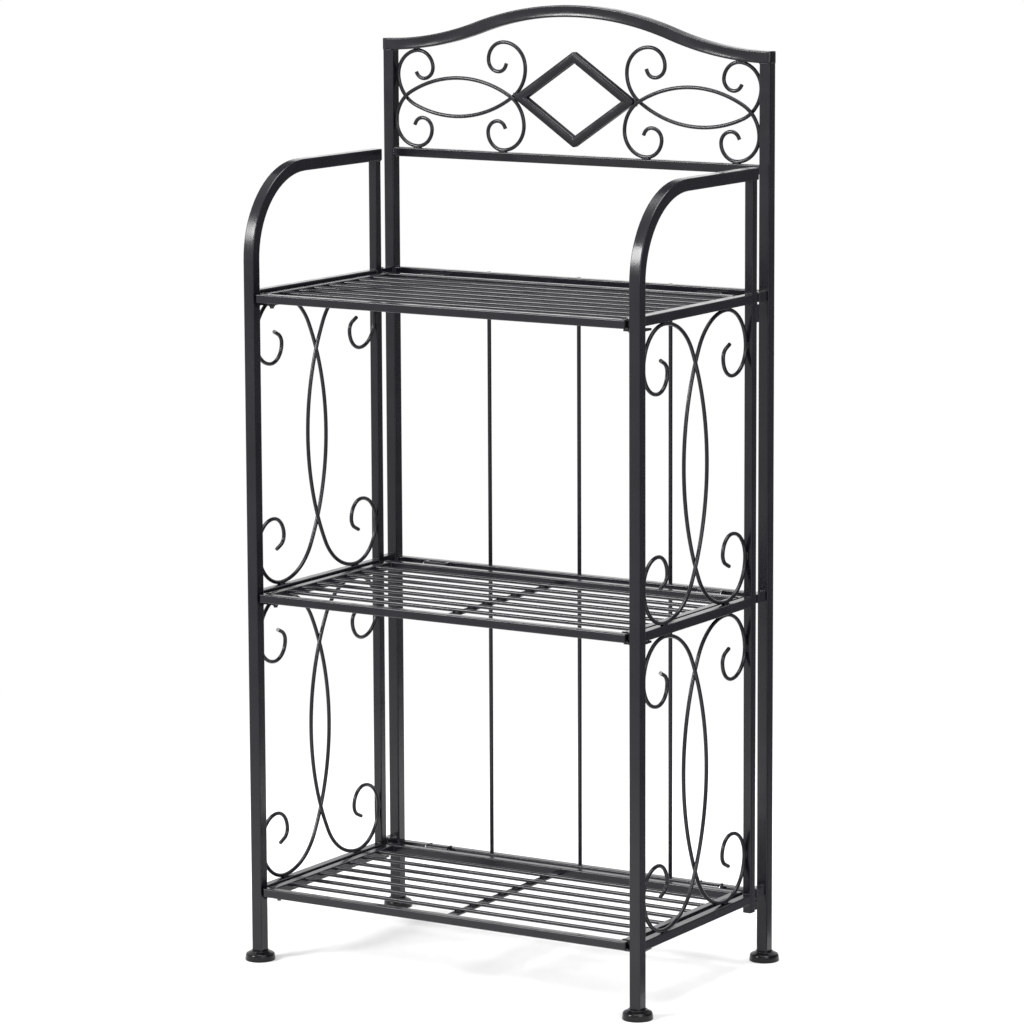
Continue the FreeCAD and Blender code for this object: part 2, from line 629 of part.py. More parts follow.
def bent_arm(side, sign):
    """Front post, bend and arm rail in one tube."""
    label = f"front_post_and_arm_{side}"
    body = doc.addObject("PartDesign::Body", label)
    section = tube_section(body, "post_size", "XY_Plane")
    spine = new_sketch(body, "Spine", "YZ_Plane")
    radius, height = value("bend_radius"), value(f"{ARM_RAIL_TOP} - post_size / 2 - foot_floor")
    reach = value(f"{REAR_FACE_Y} - {FRONT_Y}")
    spine.addGeometry(line(0, 0, 0, height - radius))
    spine.addGeometry(arc(radius, height - radius, radius, QUARTER, 2 * QUARTER))
    spine.addGeometry(line(radius, height, reach, height))
    join(spine, 0, [("Tangent", 0, 2, 1, 2), ("Tangent", 1, 1, 2, 1)])
    spine.addConstraint(Sketcher.Constraint("Coincident", 0, 1, -1, 1))
    spine.addConstraint(Sketcher.Constraint("Vertical", 0))
    spine.addConstraint(Sketcher.Constraint("Horizontal", 2))
    limit(spine, "Radius", (1,), "bend_radius")
    limit(spine, "DistanceY", (-1, 1, 2, 2), f"{ARM_RAIL_TOP} - post_size / 2 - foot_floor")
    limit(spine, "DistanceX", (-1, 1, 2, 2), f"{REAR_FACE_Y} - {FRONT_Y}")
    pipe(body, section, spine)
    put(body, (f"{sign} * {POST_X}", FRONT_Y, "foot_floor"))
    keep(label, body)


def rear_post_and_rails(side, sign):
    label = f"rear_post_{side}"
    place = (f"{sign} * {POST_X}", REAR_POST_Y, "rear_post_bottom")
    keep(label, straight_tube(label, "slim_size", f"{ARM_RAIL_TOP} - post_size - rear_post_bottom", place))
    for level, name in enumerate(LEVELS):
        label = f"side_rail_{name}_{side}"
        place = (f"{sign} * {POST_X}", RAIL_FRONT_Y, f"{rail_top(level)} - slim_size / 2")
        length = f"{RAIL_REAR_Y} - {RAIL_FRONT_Y}"
        keep(label, straight_tube(label, "slim_size", length, place, ALONG_Y))


def side_scrolls(side, sign):
    """In each bay, two mirrored bows whose curls lie on the posts and whose arcs form a lens."""
    wire, loop, lens = value("scroll_width"), value("side_loop"), value("side_lens")
    radii = [loop] + [loop * share for share in SIDE_CURL_SHARES]
    front_y, rear_y = value(RAIL_FRONT_Y), value(RAIL_REAR_Y)
    middle_y, plane_x = (front_y + rear_y) / 2, value(POST_X)
    for level, name in ((0, "lower"), (1, "upper")):
        floor_z = value(rail_top(level))
        roof_z = value(f"{rail_top(level + 1)} - slim_size")
        middle_z, half_span = (floor_z + roof_z) / 2, (roof_z - floor_z - wire) / 2
        drop = (rear_y - front_y - wire) / 2 + lens - loop
        turns = bow_path(half_span, drop, math.radians(value("side_lens_turn")), radii)
        shape = bow(turns, value("side_tail"), wire)
        bows = []
        for number, way in enumerate((1, -1)):
            middle = Vector(sign * (plane_x + way * wire / 2), middle_y + way * lens, middle_z)
            turn = frame_turn(Vector(0, 0, 1), Vector(0, way, 0))
            bows.append(feature(f"bow_{side}_{name}_{number}", shape, Placement(middle, turn)))
        group(f"side_scrolls_{name}_{side}", bows)


def hinge_lugs(side, sign):
    lugs = []
    towards_front = Rotation(Vector(0, 0, 1), -90)
    for level, name, height in ((0, "bottom", "lower_lug_height"), (2, "top", "upper_lug_height")):
        bottom = f"{shelf_top(level)} + standoff_lift - standoff_height - lug_gap - {height}"
        place = (f"{sign} * {POST_X}", HINGE_Y, bottom)
        lugs.append(eye_plate(f"lug_{side}_{name}", f"{HINGE_Y} - {REAR_FACE_Y}", "hinge_eye",
                              "hinge_pin_width + 2 * bore_gap", "hinge_arm", height, place, towards_front))
    group(f"hinge_lugs_{side}", lugs)


# A headed stud through its gusset, with a cone under the plate, as (radius, height) from the plate's top down
STUD_OUTLINE = [("0", "-gusset_drop"), ("stud_head_width / 2", "-gusset_drop"), ("stud_head_width / 2", "0"),
                ("stud_width / 2", "0"), ("stud_width / 2", "gusset_thickness"),
                ("stud_collar_width / 2", "gusset_thickness"),
                ("stud_width / 2", "gusset_thickness + stud_collar_height"),
                ("stud_width / 2", "gusset_thickness + stud_length"), ("0", "gusset_thickness + stud_length")]


def corner_gussets(side, sign):
    """Plates welded behind the front posts, with the headed studs that the shelf corners rest on."""
    plates, studs = [], []
    mirror = Rotation(Vector(0, 1, 0), 180)
    inner_x = f"{sign} * (rack_width / 2 - post_size)"
    for level, name in enumerate(LEVELS):
        body = doc.addObject("PartDesign::Body", f"gusset_{side}_{name}")
        sketch = new_sketch(body, "Outline", "XY_Plane")
        reach, root = value("gusset_reach"), value("gusset_root")
        corners = [(0, 0), (reach, -value("gusset_front")), (reach, value("gusset_side")),
                   (-root * GUSSET_CORNER_SHARE, value("gusset_tail")), (-root, 0)]
        count = len(corners)
        for index, corner in enumerate(corners):
            sketch.addGeometry(line(*corner, *corners[(index + 1) % count]))
        join(sketch, 0, [("Coincident", i, 2, (i + 1) % count, 1) for i in range(count)])
        sketch.addConstraint(Sketcher.Constraint("Coincident", 0, 1, -1, 1))
        sketch.addConstraint(Sketcher.Constraint("Vertical", 1))
        sketch.addConstraint(Sketcher.Constraint("Horizontal", 4))
        limit(sketch, "DistanceX", (0, 1, 0, 2), "gusset_reach")
        limit(sketch, "DistanceY", (0, 2, 0, 1), "gusset_front")
        limit(sketch, "DistanceY", (0, 1, 1, 2), "gusset_side")
        limit(sketch, "DistanceX", (2, 2, 0, 1), f"gusset_root * {GUSSET_CORNER_SHARE}")
        limit(sketch, "DistanceY", (0, 1, 2, 2), "gusset_tail")
        limit(sketch, "DistanceX", (4, 1, 4, 2), "gusset_root")
        spot = Vector(value("stud_place"), value("stud_setback"), 0)
        hole = sketch.addGeometry(Part.Circle(spot, Vector(0, 0, 1), value("stud_width") / 2))
        limit(sketch, "Radius", (hole,), "stud_width / 2")
        limit(sketch, "DistanceX", (-1, 1, hole, 3), "stud_place")
        limit(sketch, "DistanceY", (-1, 1, hole, 3), "stud_setback")
        pad(body, sketch, "gusset_thickness")
        plate_top = f"({shelf_top(level)} - rest_gap - shelf_tube - gusset_drop)"
        turn, height = (mirror, plate_top) if sign > 0 else (ALONG_Z, f"{plate_top} - gusset_thickness")
        put(body, (inner_x, RAIL_FRONT_Y, height), turn)
        plates.append(body)
        place = (f"{inner_x} - {sign} * stud_place", f"{RAIL_FRONT_Y} + stud_setback", plate_top)
        studs.append(turned(f"stud_{side}_{name}", STUD_OUTLINE, place, Rotation(Vector(1, 0, 0), 180)))
    group(f"corner_gussets_{side}", plates)
    group(f"gusset_studs_{side}", studs)


# Shelves

def shelf(level, name):
    top = shelf_top(level)
    middle = f"{top} - shelf_tube / 2"
    for rail, start in (("front", SHELF_FRONT_Y), ("rear", f"({REAR_FACE_Y} - shelf_tube)")):
        label = f"shelf_{rail}_rail_{name}"
        place = (f"-{SHELF_HALF}", f"{start} + shelf_tube / 2", middle)
        keep(label, straight_tube(label, "shelf_tube", f"2 * {SHELF_HALF}", place, ALONG_X))
    inside_front = f"({SHELF_FRONT_Y} + shelf_tube)"
    ends = []
    for side, sign in SIDES:
        place = (f"{sign} * ({SHELF_HALF} - shelf_tube / 2)", inside_front, middle)
        ends.append(straight_tube(f"shelf_end_{side}_{name}", "shelf_tube", SHELF_INSIDE, place, ALONG_Y))
    group(f"shelf_end_rails_{name}", ends)
    wires = []
    for number in range(1, int(value("wire_count")) + 1):
        rod = doc.addObject("Part::Cylinder", f"wire_{name}_{number}")
        rod.setExpression("Radius", bound("wire_width / 2"))
        rod.setExpression("Height", bound(f"2 * ({SHELF_HALF} - shelf_tube)"))
        place = (f"shelf_tube - {SHELF_HALF}", f"{inside_front} + {SHELF_INSIDE} * {number} / (wire_count + 1)",
                 f"{top} - wire_width / 2")
        put(rod, place, ALONG_X)
        wires.append(rod)
    group(f"shelf_wires_{name}", wires)
    strap = doc.addObject("Part::Box", f"shelf_strap_{name}")
    strap.setExpression("Length", bound("strap_width"))
    strap.setExpression("Width", bound(SHELF_INSIDE))
    strap.setExpression("Height", bound("strap_thickness"))
    put(strap, ("-strap_width / 2", inside_front, f"{top} - wire_width - strap_thickness"))
    keep(f"shelf_strap_{name}", strap)
    leaf_turn = Rotation(Vector(0, -1, 0), Vector(0, 0, -1), Vector(1, 0, 0), "XYZ")
    leaves = []
    for place_level, sign, middle_x, height in leaf_places():
        if place_level == level:
            leaves.append(eye_plate(f"leaf_{name}_{sign + 1}", f"{LEAF_Y} - {REAR_FACE_Y}", "barrel_width",
                                    "leaf_pin_width + 2 * bore_gap", "leaf_thickness", "leaf_width",
                                    (f"{middle_x} - leaf_width / 2", LEAF_Y, height), leaf_turn))
    group(f"shelf_hinge_leaves_{name}", leaves)


back_posts()
arched_top_rail()
panel_rail()
panel_scrolls_and_diamond()
crossbars_and_spindles()
side_hinge_hardware()
shelf_hinge_hardware()
for side, sign in SIDES:
    foot(f"back_foot_{side}", f"{sign} * {POST_X}", BACK_Y)
    bent_arm(side, sign)
    rear_post_and_rails(side, sign)
    side_scrolls(side, sign)
    hinge_lugs(side, sign)
    corner_gussets(side, sign)
    foot(f"front_foot_{side}", f"{sign} * {POST_X}", FRONT_Y)
for level, name in enumerate(LEVELS):
    shelf(level, name)
doc.recompute()

faults = [item.Label for item in doc.Objects if {"Invalid", "Error"} & set(item.State)]
for label, thing in nodes.items():
    if thing.Shape.isNull() or not thing.Shape.isValid() or not thing.Shape.Solids:
        faults.append(label)
if faults:
    raise RuntimeError("these pieces failed: " + ", ".join(faults))

os.makedirs("parts", exist_ok=True)
for label, thing in nodes.items():
    thing.Shape.exportStep(f"parts/{label}.step")
print("pieces written:", len(nodes))
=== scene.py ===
import math

import bpy
import numpy as np
from bpy.props import FloatProperty, FloatVectorProperty, IntProperty, PointerProperty
from mathutils import Matrix, Vector


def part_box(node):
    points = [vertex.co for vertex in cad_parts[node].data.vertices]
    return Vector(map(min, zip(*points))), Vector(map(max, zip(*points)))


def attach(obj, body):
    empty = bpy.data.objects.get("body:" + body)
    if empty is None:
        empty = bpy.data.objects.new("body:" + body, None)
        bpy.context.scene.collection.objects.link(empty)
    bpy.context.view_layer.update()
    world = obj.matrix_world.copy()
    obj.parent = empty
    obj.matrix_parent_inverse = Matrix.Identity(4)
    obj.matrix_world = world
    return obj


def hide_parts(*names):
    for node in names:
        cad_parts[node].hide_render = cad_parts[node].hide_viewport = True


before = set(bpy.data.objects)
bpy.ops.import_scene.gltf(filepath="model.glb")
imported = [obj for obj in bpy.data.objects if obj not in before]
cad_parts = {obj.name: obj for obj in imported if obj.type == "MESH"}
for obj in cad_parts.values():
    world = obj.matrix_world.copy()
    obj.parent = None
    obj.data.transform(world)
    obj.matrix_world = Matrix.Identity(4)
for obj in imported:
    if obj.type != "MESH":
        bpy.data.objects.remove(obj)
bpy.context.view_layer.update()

bl_info = {
    "name": "Folding bakers rack",
    "version": (1, 0, 0),
    "blender": (4, 5, 0),
    "location": "View3D > Sidebar > Rack",
    "description": "Dresses the folding bakers rack: paint, welds, plugs, feet and the studio",
    "category": "Object",
}

LEVELS = ("bottom", "middle", "top")
SIDES = {"left": -1, "right": 1}
X, Y, Z = np.eye(3)
TURN = 2 * math.pi

# The picture's side, its middle and the lens axis, in pixels
PICTURE = 1024
PICTURE_MIDDLE = (512.4, 512)
LENS_AXIS = (653, 440)
FOCAL_PIXELS = 4580.9


# Properties: one function for each kind

def metres(name, description, default):
    return FloatProperty(name=name, description=description, unit="LENGTH", default=default)


def fraction(name, description, default):
    return FloatProperty(name=name, description=description, min=0, max=1, default=default)


def watts(name, description, default):
    return FloatProperty(name=name, description=description, subtype="POWER", default=default)


def degrees(name, description, value):
    return FloatProperty(name=name, description=description, subtype="ANGLE", default=math.radians(value))


def tint(name, description, default):
    return FloatVectorProperty(
        name=name, description=description, subtype="COLOR", size=4, min=0, max=1, default=default)


def position(name, description, default):
    return FloatVectorProperty(
        name=name, description=description, subtype="TRANSLATION", unit="LENGTH", default=default)


class RackFinish(bpy.types.PropertyGroup):
    """Colours and gloss of the rack's three materials."""

    paint: tint("Paint", "Charcoal black paint of the welded frames", (0.0048, 0.0046, 0.0072, 1))
    paint_thin: tint("Thin paint", "The paint where the film is thinner", (0.008, 0.0077, 0.0112, 1))
    steel: tint("Zinc", "Zinc plating of the hinge pins", (0.42, 0.42, 0.43, 1))
    plastic: tint("Plastic", "Black plastic of the feet and plugs", (0.004, 0.004, 0.0046, 1))
    paint_roughness: fraction("Paint roughness", "Mean roughness of the paint", 0.2)
    paint_gloss: fraction("Paint gloss", "Specular level of the paint", 0.36)
    plastic_roughness: fraction("Plastic roughness", "Mean roughness of the feet", 0.1)
    plastic_gloss: fraction("Plastic gloss", "Specular level of the feet", 0.25)


class RackSizes(bpy.types.PropertyGroup):
    """Sizes of the small pieces that dress the frame."""

    seam: metres("Seam", "Radius of a weld seam between tubes", 0.0012)
    wire_seam: metres("Wire seam", "Radius of a weld seam on a wire", 0.0012)
    ripple: metres("Ripple", "Length of one ripple of a weld seam", 0.0016)
    blob: metres("Blob", "Radius of the welds under the back scrolls", 0.0019)
    tack: metres("Tack", "Length of a wire's tack weld on the strap", 0.008)
    slim_tube: metres("Slim tube", "Side of the rails' square tube", 0.0138)
    shelf_tube: metres("Shelf tube", "Side of the shelves' square tube", 0.0127)
    post_tube: metres("Post tube", "Side of the posts' square tube", 0.0175)
    tube_round: metres("Tube rounding", "Corner radius of the arched rail's tube", 0.0018)
    dish: metres("Dish", "Depth that bending dishes the arched rail's faces", 0.0009)
    diamond_edge: metres("Diamond edge", "Rounding of the edges of the diamond's tube", 0.0035)
    diamond_round: metres("Diamond round", "Rounding of the diamond's outer corners", 0.004)
    diamond_crown: metres("Diamond crown", "Crown of the faces of the diamond's tube", 0.0003)
    wire: metres("Scroll wire", "Diameter of the scroll wire", 0.0057)
    side_loop: metres("Side loop", "First loop radius of the side scrolls", 0.058)
    panel_loop: metres("Panel loop", "First loop radius of the back scrolls", 0.037)
    side_lens: metres("Side lens", "Half width of the side scrolls' lens", 0.028)
    foot_base: metres("Foot base", "Diameter of a foot at the floor", 0.0445)
    foot_shoulder: metres("Foot shoulder", "Diameter of a foot at its shoulder", 0.0427)
    foot_neck: metres("Foot neck", "Diameter of a foot's neck", 0.027)
    foot_rise: metres("Foot rise", "Height of a foot's shoulder", 0.01)
    foot_lip: metres("Foot lip", "Height of the lip round the post", 0.0008)
    sole_round: metres("Sole rounding", "Rounding of a foot's sole", 0.0012)
    shoulder_round: metres("Shoulder rounding", "Rounding of a foot's shoulder", 0.0028)
    lip_round: metres("Lip rounding", "Rounding of a foot's lip", 0.0003)
    plug_rise: metres("Plug rise", "Dome of a tube plug over the tube's end", 0.0011)
    plug_gap: metres("Plug gap", "Plug's rim inside the tube's faces", 0.0004)
    gusset_root: metres("Gusset root", "Weld of a gusset along its post", 0.01)
    hinge_arm: metres("Hinge arm", "Width of the side hinges' standoffs and lugs", 0.012)
    ear_span: metres("Ear span", "Distance over the two ears of a shelf hinge", 0.0386)
    ear_weld: metres("Ear weld", "Length of the weld along an ear", 0.01)
    leaf: metres("Leaf", "Width of a shelf hinge's leaf", 0.032)
    leaf_thickness: metres("Leaf thickness", "Thickness of a shelf hinge's leaf", 0.003)
    wires: IntProperty(name="Wires", description="Wires of each shelf", min=1, default=7)


class RackStage(bpy.types.PropertyGroup):
    """Camera, lamps, floor and the glowing cards that paint dark reflections."""

    camera_place: position("Camera", "Place of the camera", (3.48739, -5.58847, 1.74908))
    camera_yaw: degrees("Yaw", "Turn of the camera to the left", 30.161)
    camera_pitch: degrees("Pitch", "Tilt of the camera below the horizon", 8.408)
    focal: FloatProperty(
        name="Focal length", description="Focal length in image widths", default=FOCAL_PIXELS / PICTURE)
    shift: FloatVectorProperty(
        name="Shift", description="Shift of the image in image widths", size=2,
        default=((PICTURE_MIDDLE[0] - LENS_AXIS[0]) / PICTURE, (LENS_AXIS[1] - PICTURE_MIDDLE[1]) / PICTURE))
    floor: tint("Floor", "Colour of the floor", (0.92, 0.92, 0.92, 1))
    fade_start: metres("Fade start", "Distance at which the floor starts to whiten", 0.7)
    fade_end: metres("Fade end", "Distance at which the floor is white", 2.2)
    # Painted reflections: tones of glowing cards that only reflections see, darkening the rack's right and
    # lower right faces
    upright_painted_reflection: tint("Upright card", "Tone of the card that the right faces reflect", (0.2, 0.2, 0.21, 1))
    low_painted_reflection: tint("Low card", "Tone of the card that the lower right faces reflect", (0.35, 0.35, 0.37, 1))
    card_near: metres("Card near", "Near edge of the low card", 0.4)
    card_far: metres("Card far", "Place of the upright card", 0.95)
    card_front: metres("Card front", "Front edge of both cards", -0.1)
    card_depth: metres("Card depth", "Length of the cards to the back", 3.4)
    card_height: metres("Card height", "Height of the upright card", 1.9)
    card_lift: metres("Card lift", "Low cards above the floor", 0.002)
    # Painted reflection: tone of the glowing cards behind the rack, which only reflections see
    back_painted_reflection: tint("Back cards", "Tone of the cards behind the rack", (0.12, 0.12, 0.125, 1))
    back_card_edge: metres("Back low card's edge", "Right edge of the low card behind the rack", -0.35)
    back_card_place: metres("Back cards' place", "Distance of the cards behind the rack", 1.2)
    back_card_width: metres("Back cards' width", "Width of the cards behind the rack", 5.0)
    back_card_lift: metres("Back high card's lift", "Lower edge of the high card", 1.75)
    back_card_height: metres("Back high card's height", "Height of the high card", 2.5)
    key: watts("Key", "Power of the key lamp", 170)
    fill: watts("Fill", "Power of the fill lamp", 60)
    top: watts("Top", "Power of the top lamp", 170)
    rim: watts("Rim", "Power of the rim lamp", 5)
    key_place: position("Key place", "Place of the key lamp", (-2.3, -3.5, 2.9))
    fill_place: position("Fill place", "Place of the fill lamp", (3.4, -2.4, 2.2))
    top_place: position("Top place", "Place of the top lamp", (0.2, 0.4, 4.2))
    rim_place: position("Rim place", "Place of the rim lamp", (-2.2, 3.6, 2.1))
    aim: position("Aim", "Point that the lamps aim at", (0, 0, 0.6))
    key_size: metres("Key size", "Diameter of the key lamp", 1.5)
    fill_size: metres("Fill size", "Diameter of the fill lamp", 2.6)
    top_size: metres("Top size", "Diameter of the top lamp", 3.2)
    rim_size: metres("Rim size", "Diameter of the rim lamp", 2.0)
    ambient: FloatProperty(
        name="Ambient", description="Strength of the even light from all round", default=0.5)


# Surfaces: each is its points and a list of face arrays

def unit(vectors):
    """Vectors of length one."""
    return vectors / np.linalg.norm(vectors, axis=-1, keepdims=True)


def ring_quads(count, width, closed=False):
    """Quads between neighbouring rings of points; closed joins the last ring to the first."""
    row, column = np.arange(count if closed else count - 1)[:, None] * width, np.arange(width)
    next_row, following = (row + width) % (count * width), (column + 1) % width
    quads = np.stack([row + column, row + following, next_row + following, next_row + column], -1)
    return quads.reshape(-1, 4)


def end_fans(count, width):
    """Fans that close the first and the last ring on the two points that come after the rings."""
    column = np.arange(width)
    following, last, pole = (column + 1) % width, (count - 1) * width, count * width
    return [np.stack([np.full(width, pole), following, column], -1),
            np.stack([np.full(width, pole + 1), last + column, last + following], -1)]


def tube(path, radius, side, closed, sections=8):
    """A round section carried along a path:
    P(s, a) = path(s) + radius(s) (side cos a + (tangent x side) sin a).
    An open tube ends in a point at both ends of its path."""
    after, before = np.roll(path, -1, axis=0), np.roll(path, 1, axis=0)
    if not closed:
        after[-1], before[0] = path[-1], path[0]
    tangent = unit(after - before)
    across = unit(side - tangent * (tangent @ side)[:, None])
    other = np.cross(tangent, across)
    turn = np.arange(sections) * TURN / sections
    ring = across[:, None] * np.cos(turn)[None, :, None] + other[:, None] * np.sin(turn)[None, :, None]
    points = (path[:, None] + radius[:, None, None] * ring).reshape(-1, 3)
    faces = [ring_quads(len(path), sections, closed)]
    if not closed:
        reach = tangent[[0, -1]] * radius[[0, -1], None] / 2
        points = np.vstack([points, path[0] - reach[0], path[-1] + reach[1]])
        faces += end_fans(len(path), sections)
    return points, faces


def rounded(corners, reaches, steps=9):
    """A broken line with its corners turned into curves: B(t) = (1 - t)^2 a + 2 t (1 - t) corner + t^2 b,
    where a and b lie on the corner's two legs, at its reach."""
    corners = np.asarray(corners, float)
    inner, reach = corners[1:-1], np.asarray(reaches, float)[:, None]
    back = inner + unit(corners[:-2] - inner) * reach
    ahead = inner + unit(corners[2:] - inner) * reach
    t = np.linspace(0, 1, steps)[None, :, None]
    curves = (1 - t) ** 2 * back[:, None] + 2 * t * (1 - t) * inner[:, None] + t ** 2 * ahead[:, None]
    return curves.reshape(-1, 2)


def spun(profile, centre, sections=96):
    """A profile of (radius, height) turned about the vertical: P(i, a) = centre + r_i (cos a, sin a) + h_i.
    The profile runs upwards on the outside and both its ends close on the axis."""
    turn = np.arange(sections) * TURN / sections
    radius, height = profile[:, 0], profile[:, 1]
    points = np.stack([radius[:, None] * np.cos(turn), radius[:, None] * np.sin(turn),
                       np.repeat(height[:, None], sections, 1)], -1).reshape(-1, 3)
    points = np.vstack([points, [0, 0, height[0]], [0, 0, height[-1]]]) + centre
    return points, [ring_quads(len(profile), sections), *end_fans(len(profile), sections)]


def domed_plug(centre, outward, along, half, rise, steps=12, flatness=6, corner_share=0.06, corner_power=4):
    """A square plug with a domed face: P(u, v) = centre + half (u along + v across) + h(u, v) outward,
    h = rise (1 - u^6)(1 - v^6) inside the rim, and a skirt that goes into the tube round the rim. The
    corners are drawn in by a small share of (u v)^4."""
    across = np.cross(outward, along)
    grid = np.linspace(-1, 1, steps + 1)
    u, v = (a.ravel() for a in np.meshgrid(grid, grid, indexing="ij"))
    lift = rise * (1 - u ** flatness) * (1 - v ** flatness)
    shrink = 1 - corner_share * (u * v) ** corner_power
    flat = (u * shrink)[:, None] * along + (v * shrink)[:, None] * across
    points = centre + half * flat + lift[:, None] * outward
    n = steps + 1
    i, j = (a.ravel() for a in np.meshgrid(np.arange(steps), np.arange(steps), indexing="ij"))
    face = np.stack([i * n + j, (i + 1) * n + j, (i + 1) * n + j + 1, i * n + j + 1], -1)
    rim = np.concatenate([np.arange(steps) * n, steps * n + np.arange(steps),
                          (n - np.arange(1, n)) * n + steps, steps - np.arange(steps)])
    first, k = len(points), np.arange(len(rim))
    following = (k + 1) % len(rim)
    points = np.vstack([points, points[rim] - outward * rise, centre - outward * rise])
    skirt = np.stack([rim, first + k, first + following, rim[following]], -1)
    base = np.stack([first + following, first + k, np.full(len(rim), len(points) - 1)], -1)
    return points, [face, skirt, base]


def square_section(half, corner, steps=9, bends=7):
    """A square (p, q) with round corners, anticlockwise, and the way each point sinks when its face is
    dished: 1 - t^2 across the two faces that look along q, nothing on the others."""
    points, sinks = [], []
    t = np.linspace(-1, 1, steps)[:, None]
    for side in range(4):
        start = side * TURN / 4
        out, along = np.array([[math.cos(start), math.sin(start)], [-math.sin(start), math.cos(start)]])
        points.append(half * out + (half - corner) * t * along)
        sinks.append((1 - t ** 2) * out * (side % 2))
        bend = start + TURN / 4 * np.linspace(0, 1, bends)[1:-1]
        points.append((half - corner) * (out + along) + corner * np.stack([np.cos(bend), np.sin(bend)], -1))
        sinks.append(np.zeros((bends - 2, 2)))
    return np.vstack(points), np.vstack(sinks)


def arched_tube(end, base, top, y, half, corner, dish, steps=28):
    """A square tube along an arch of four equal arcs, P(a, k) = path(a) + p_k normal(a) - q_k Y, whose
    front and back faces are dished by the bending: most at the crown and half-way along each hollow arc."""
    sweep = 2 * math.atan((top - base) / end)
    radius = end / 2 / math.sin(sweep)
    crown, hollow = np.linspace(0, sweep, steps), np.linspace(sweep, 0, steps)[1:]
    x = np.r_[radius * np.sin(crown), end - radius * np.sin(hollow)]
    z = np.r_[top - radius * (1 - np.cos(crown)), base + radius * (1 - np.cos(hollow))]
    slope = -np.r_[crown, hollow]
    depth = dish * np.r_[np.cos(crown / sweep * TURN / 4) ** 2, np.sin(hollow / sweep * TURN / 2) ** 2]
    x, slope = np.r_[-x[:0:-1], x], np.r_[-slope[:0:-1], slope]
    z, depth = np.r_[z[:0:-1], z], np.r_[depth[:0:-1], depth]
    points, sinks = square_section(half, corner)
    section = points[None] - depth[:, None, None] * sinks[None]
    normal = np.stack([-np.sin(slope), 0 * slope, np.cos(slope)], -1)
    path = np.stack([x, y + 0 * x, z], -1)
    grid = path[:, None] + section[..., :1] * normal[:, None] - section[..., 1:] * Y
    faces = [ring_quads(len(path), len(points)), *end_fans(len(path), len(points))]
    return np.vstack([grid.reshape(-1, 3), path[0], path[-1]]), faces


def sharp_diamond(wide, tall, rounding, rounds=20):
    """Half width and half height of the sharp diamond whose corners, once rounded, reach wide and tall."""
    sharp_wide, sharp_tall = wide, tall
    for _ in range(rounds):
        slant = math.hypot(sharp_wide, sharp_tall)
        sharp_wide, sharp_tall = (wide + rounding * (slant / sharp_tall - 1),
                                  tall + rounding * (slant / sharp_wide - 1))
    return sharp_wide, sharp_tall


def mitred_diamond(wide, tall, middle, half, corner, crown, rounding, least=0.0006):
    """A square tube round a diamond: at each corner the section point at depth d below the outer edge stands
    at corner + inward d / cos(turn / 2), with a ring just before and after it. Where d is less than the
    rounding, the rings follow a fillet of radius rounding - d."""
    wide, tall = sharp_diamond(wide, tall, rounding)
    corners = np.array([[-wide, 0, 0], [0, 0, tall], [wide, 0, 0], [0, 0, -tall]]) + middle
    ahead = unit(np.roll(corners, -1, axis=0) - corners)[:, None]
    before = np.roll(ahead, 1, axis=0)
    inward = unit(ahead - before)
    turn = np.arccos((before * ahead).sum(-1, keepdims=True)) / 2
    points, sinks = square_section(half, corner)
    section = points + crown * sinks
    depth = (half - section[:, 0])[None, :, None]
    mitre = corners[:, None] + inward * depth / np.cos(turn) - section[None, :, 1:] * Y
    radius = np.maximum(rounding - depth, 0)
    slide, pull = np.maximum(radius * np.tan(turn), least), radius * (1 / np.cos(turn) - 1)
    rings = np.stack([mitre - before * slide, mitre + inward * pull, mitre + ahead * slide], 1)
    return rings.reshape(-1, 3), [ring_quads(rings.shape[0] * rings.shape[1], len(points), closed=True)]


def build(name, shapes, material, body):
    """Joins surfaces into one mesh at the origin, smooth, and lets it ride on its body."""
    shapes = list(shapes)
    starts = np.cumsum([0] + [len(points) for points, groups in shapes])
    faces = [face for start, (points, groups) in zip(starts, shapes)
             for group in groups for face in (group + start).tolist()]
    mesh = bpy.data.meshes.new(name)
    mesh.from_pydata(np.vstack([points for points, groups in shapes]).tolist(), [], faces)
    mesh.polygons.foreach_set("use_smooth", np.ones(len(mesh.polygons), dtype=bool))
    mesh.materials.append(material)
    mesh.update()
    if mesh.validate():
        raise RuntimeError(name + " has a broken mesh")
    piece = bpy.data.objects.new(name, mesh)
    bpy.context.scene.collection.objects.link(piece)
    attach(piece, body)
    return piece


# Places on the frame

def box(node):
    """Lowest and highest corner of a node."""
    lo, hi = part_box(node)
    return np.array(lo), np.array(hi)


def middle_of(node):
    """Middle of a node's box."""
    lo, hi = box(node)
    return (lo + hi) / 2


def ends(node, axis):
    """The two ends of a node's box along an axis, each with its sign and the middle of its face."""
    lo, hi = box(node)
    low, high = (lo + hi) / 2, (lo + hi) / 2
    low[axis], high[axis] = lo[axis], hi[axis]
    return [(-1, low), (1, high)]


def heights(node, gap=0.1):
    """Lowest and highest point of each of a node's separate solids, from the gaps between its heights."""
    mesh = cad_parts[node].data
    z = np.empty(len(mesh.vertices) * 3)
    mesh.vertices.foreach_get("co", z)
    z = np.sort(z.reshape(-1, 3)[:, 2])
    breaks = np.flatnonzero(np.diff(z) > gap)
    return list(zip(z[np.r_[0, breaks + 1]], z[np.r_[breaks, len(z) - 1]]))


# Weld seams

# Fewest rings of a seam and rings to a ripple; swelling and end taper as shares of its radius
FEWEST_RINGS, RIPPLE_RINGS = 9, 4
SWELL, TAPER, TAPER_POWER = 0.1, 0.75, 8
# Rings of a weld round a wire's end, its swelling, the swellings in a turn, and a way that no wire runs
ROUND_RINGS, ROUND_SWELL, ROUND_SWELLS = 14, 0.12, 3
OFF_AXIS = (0.3, 0.5, 0.8)

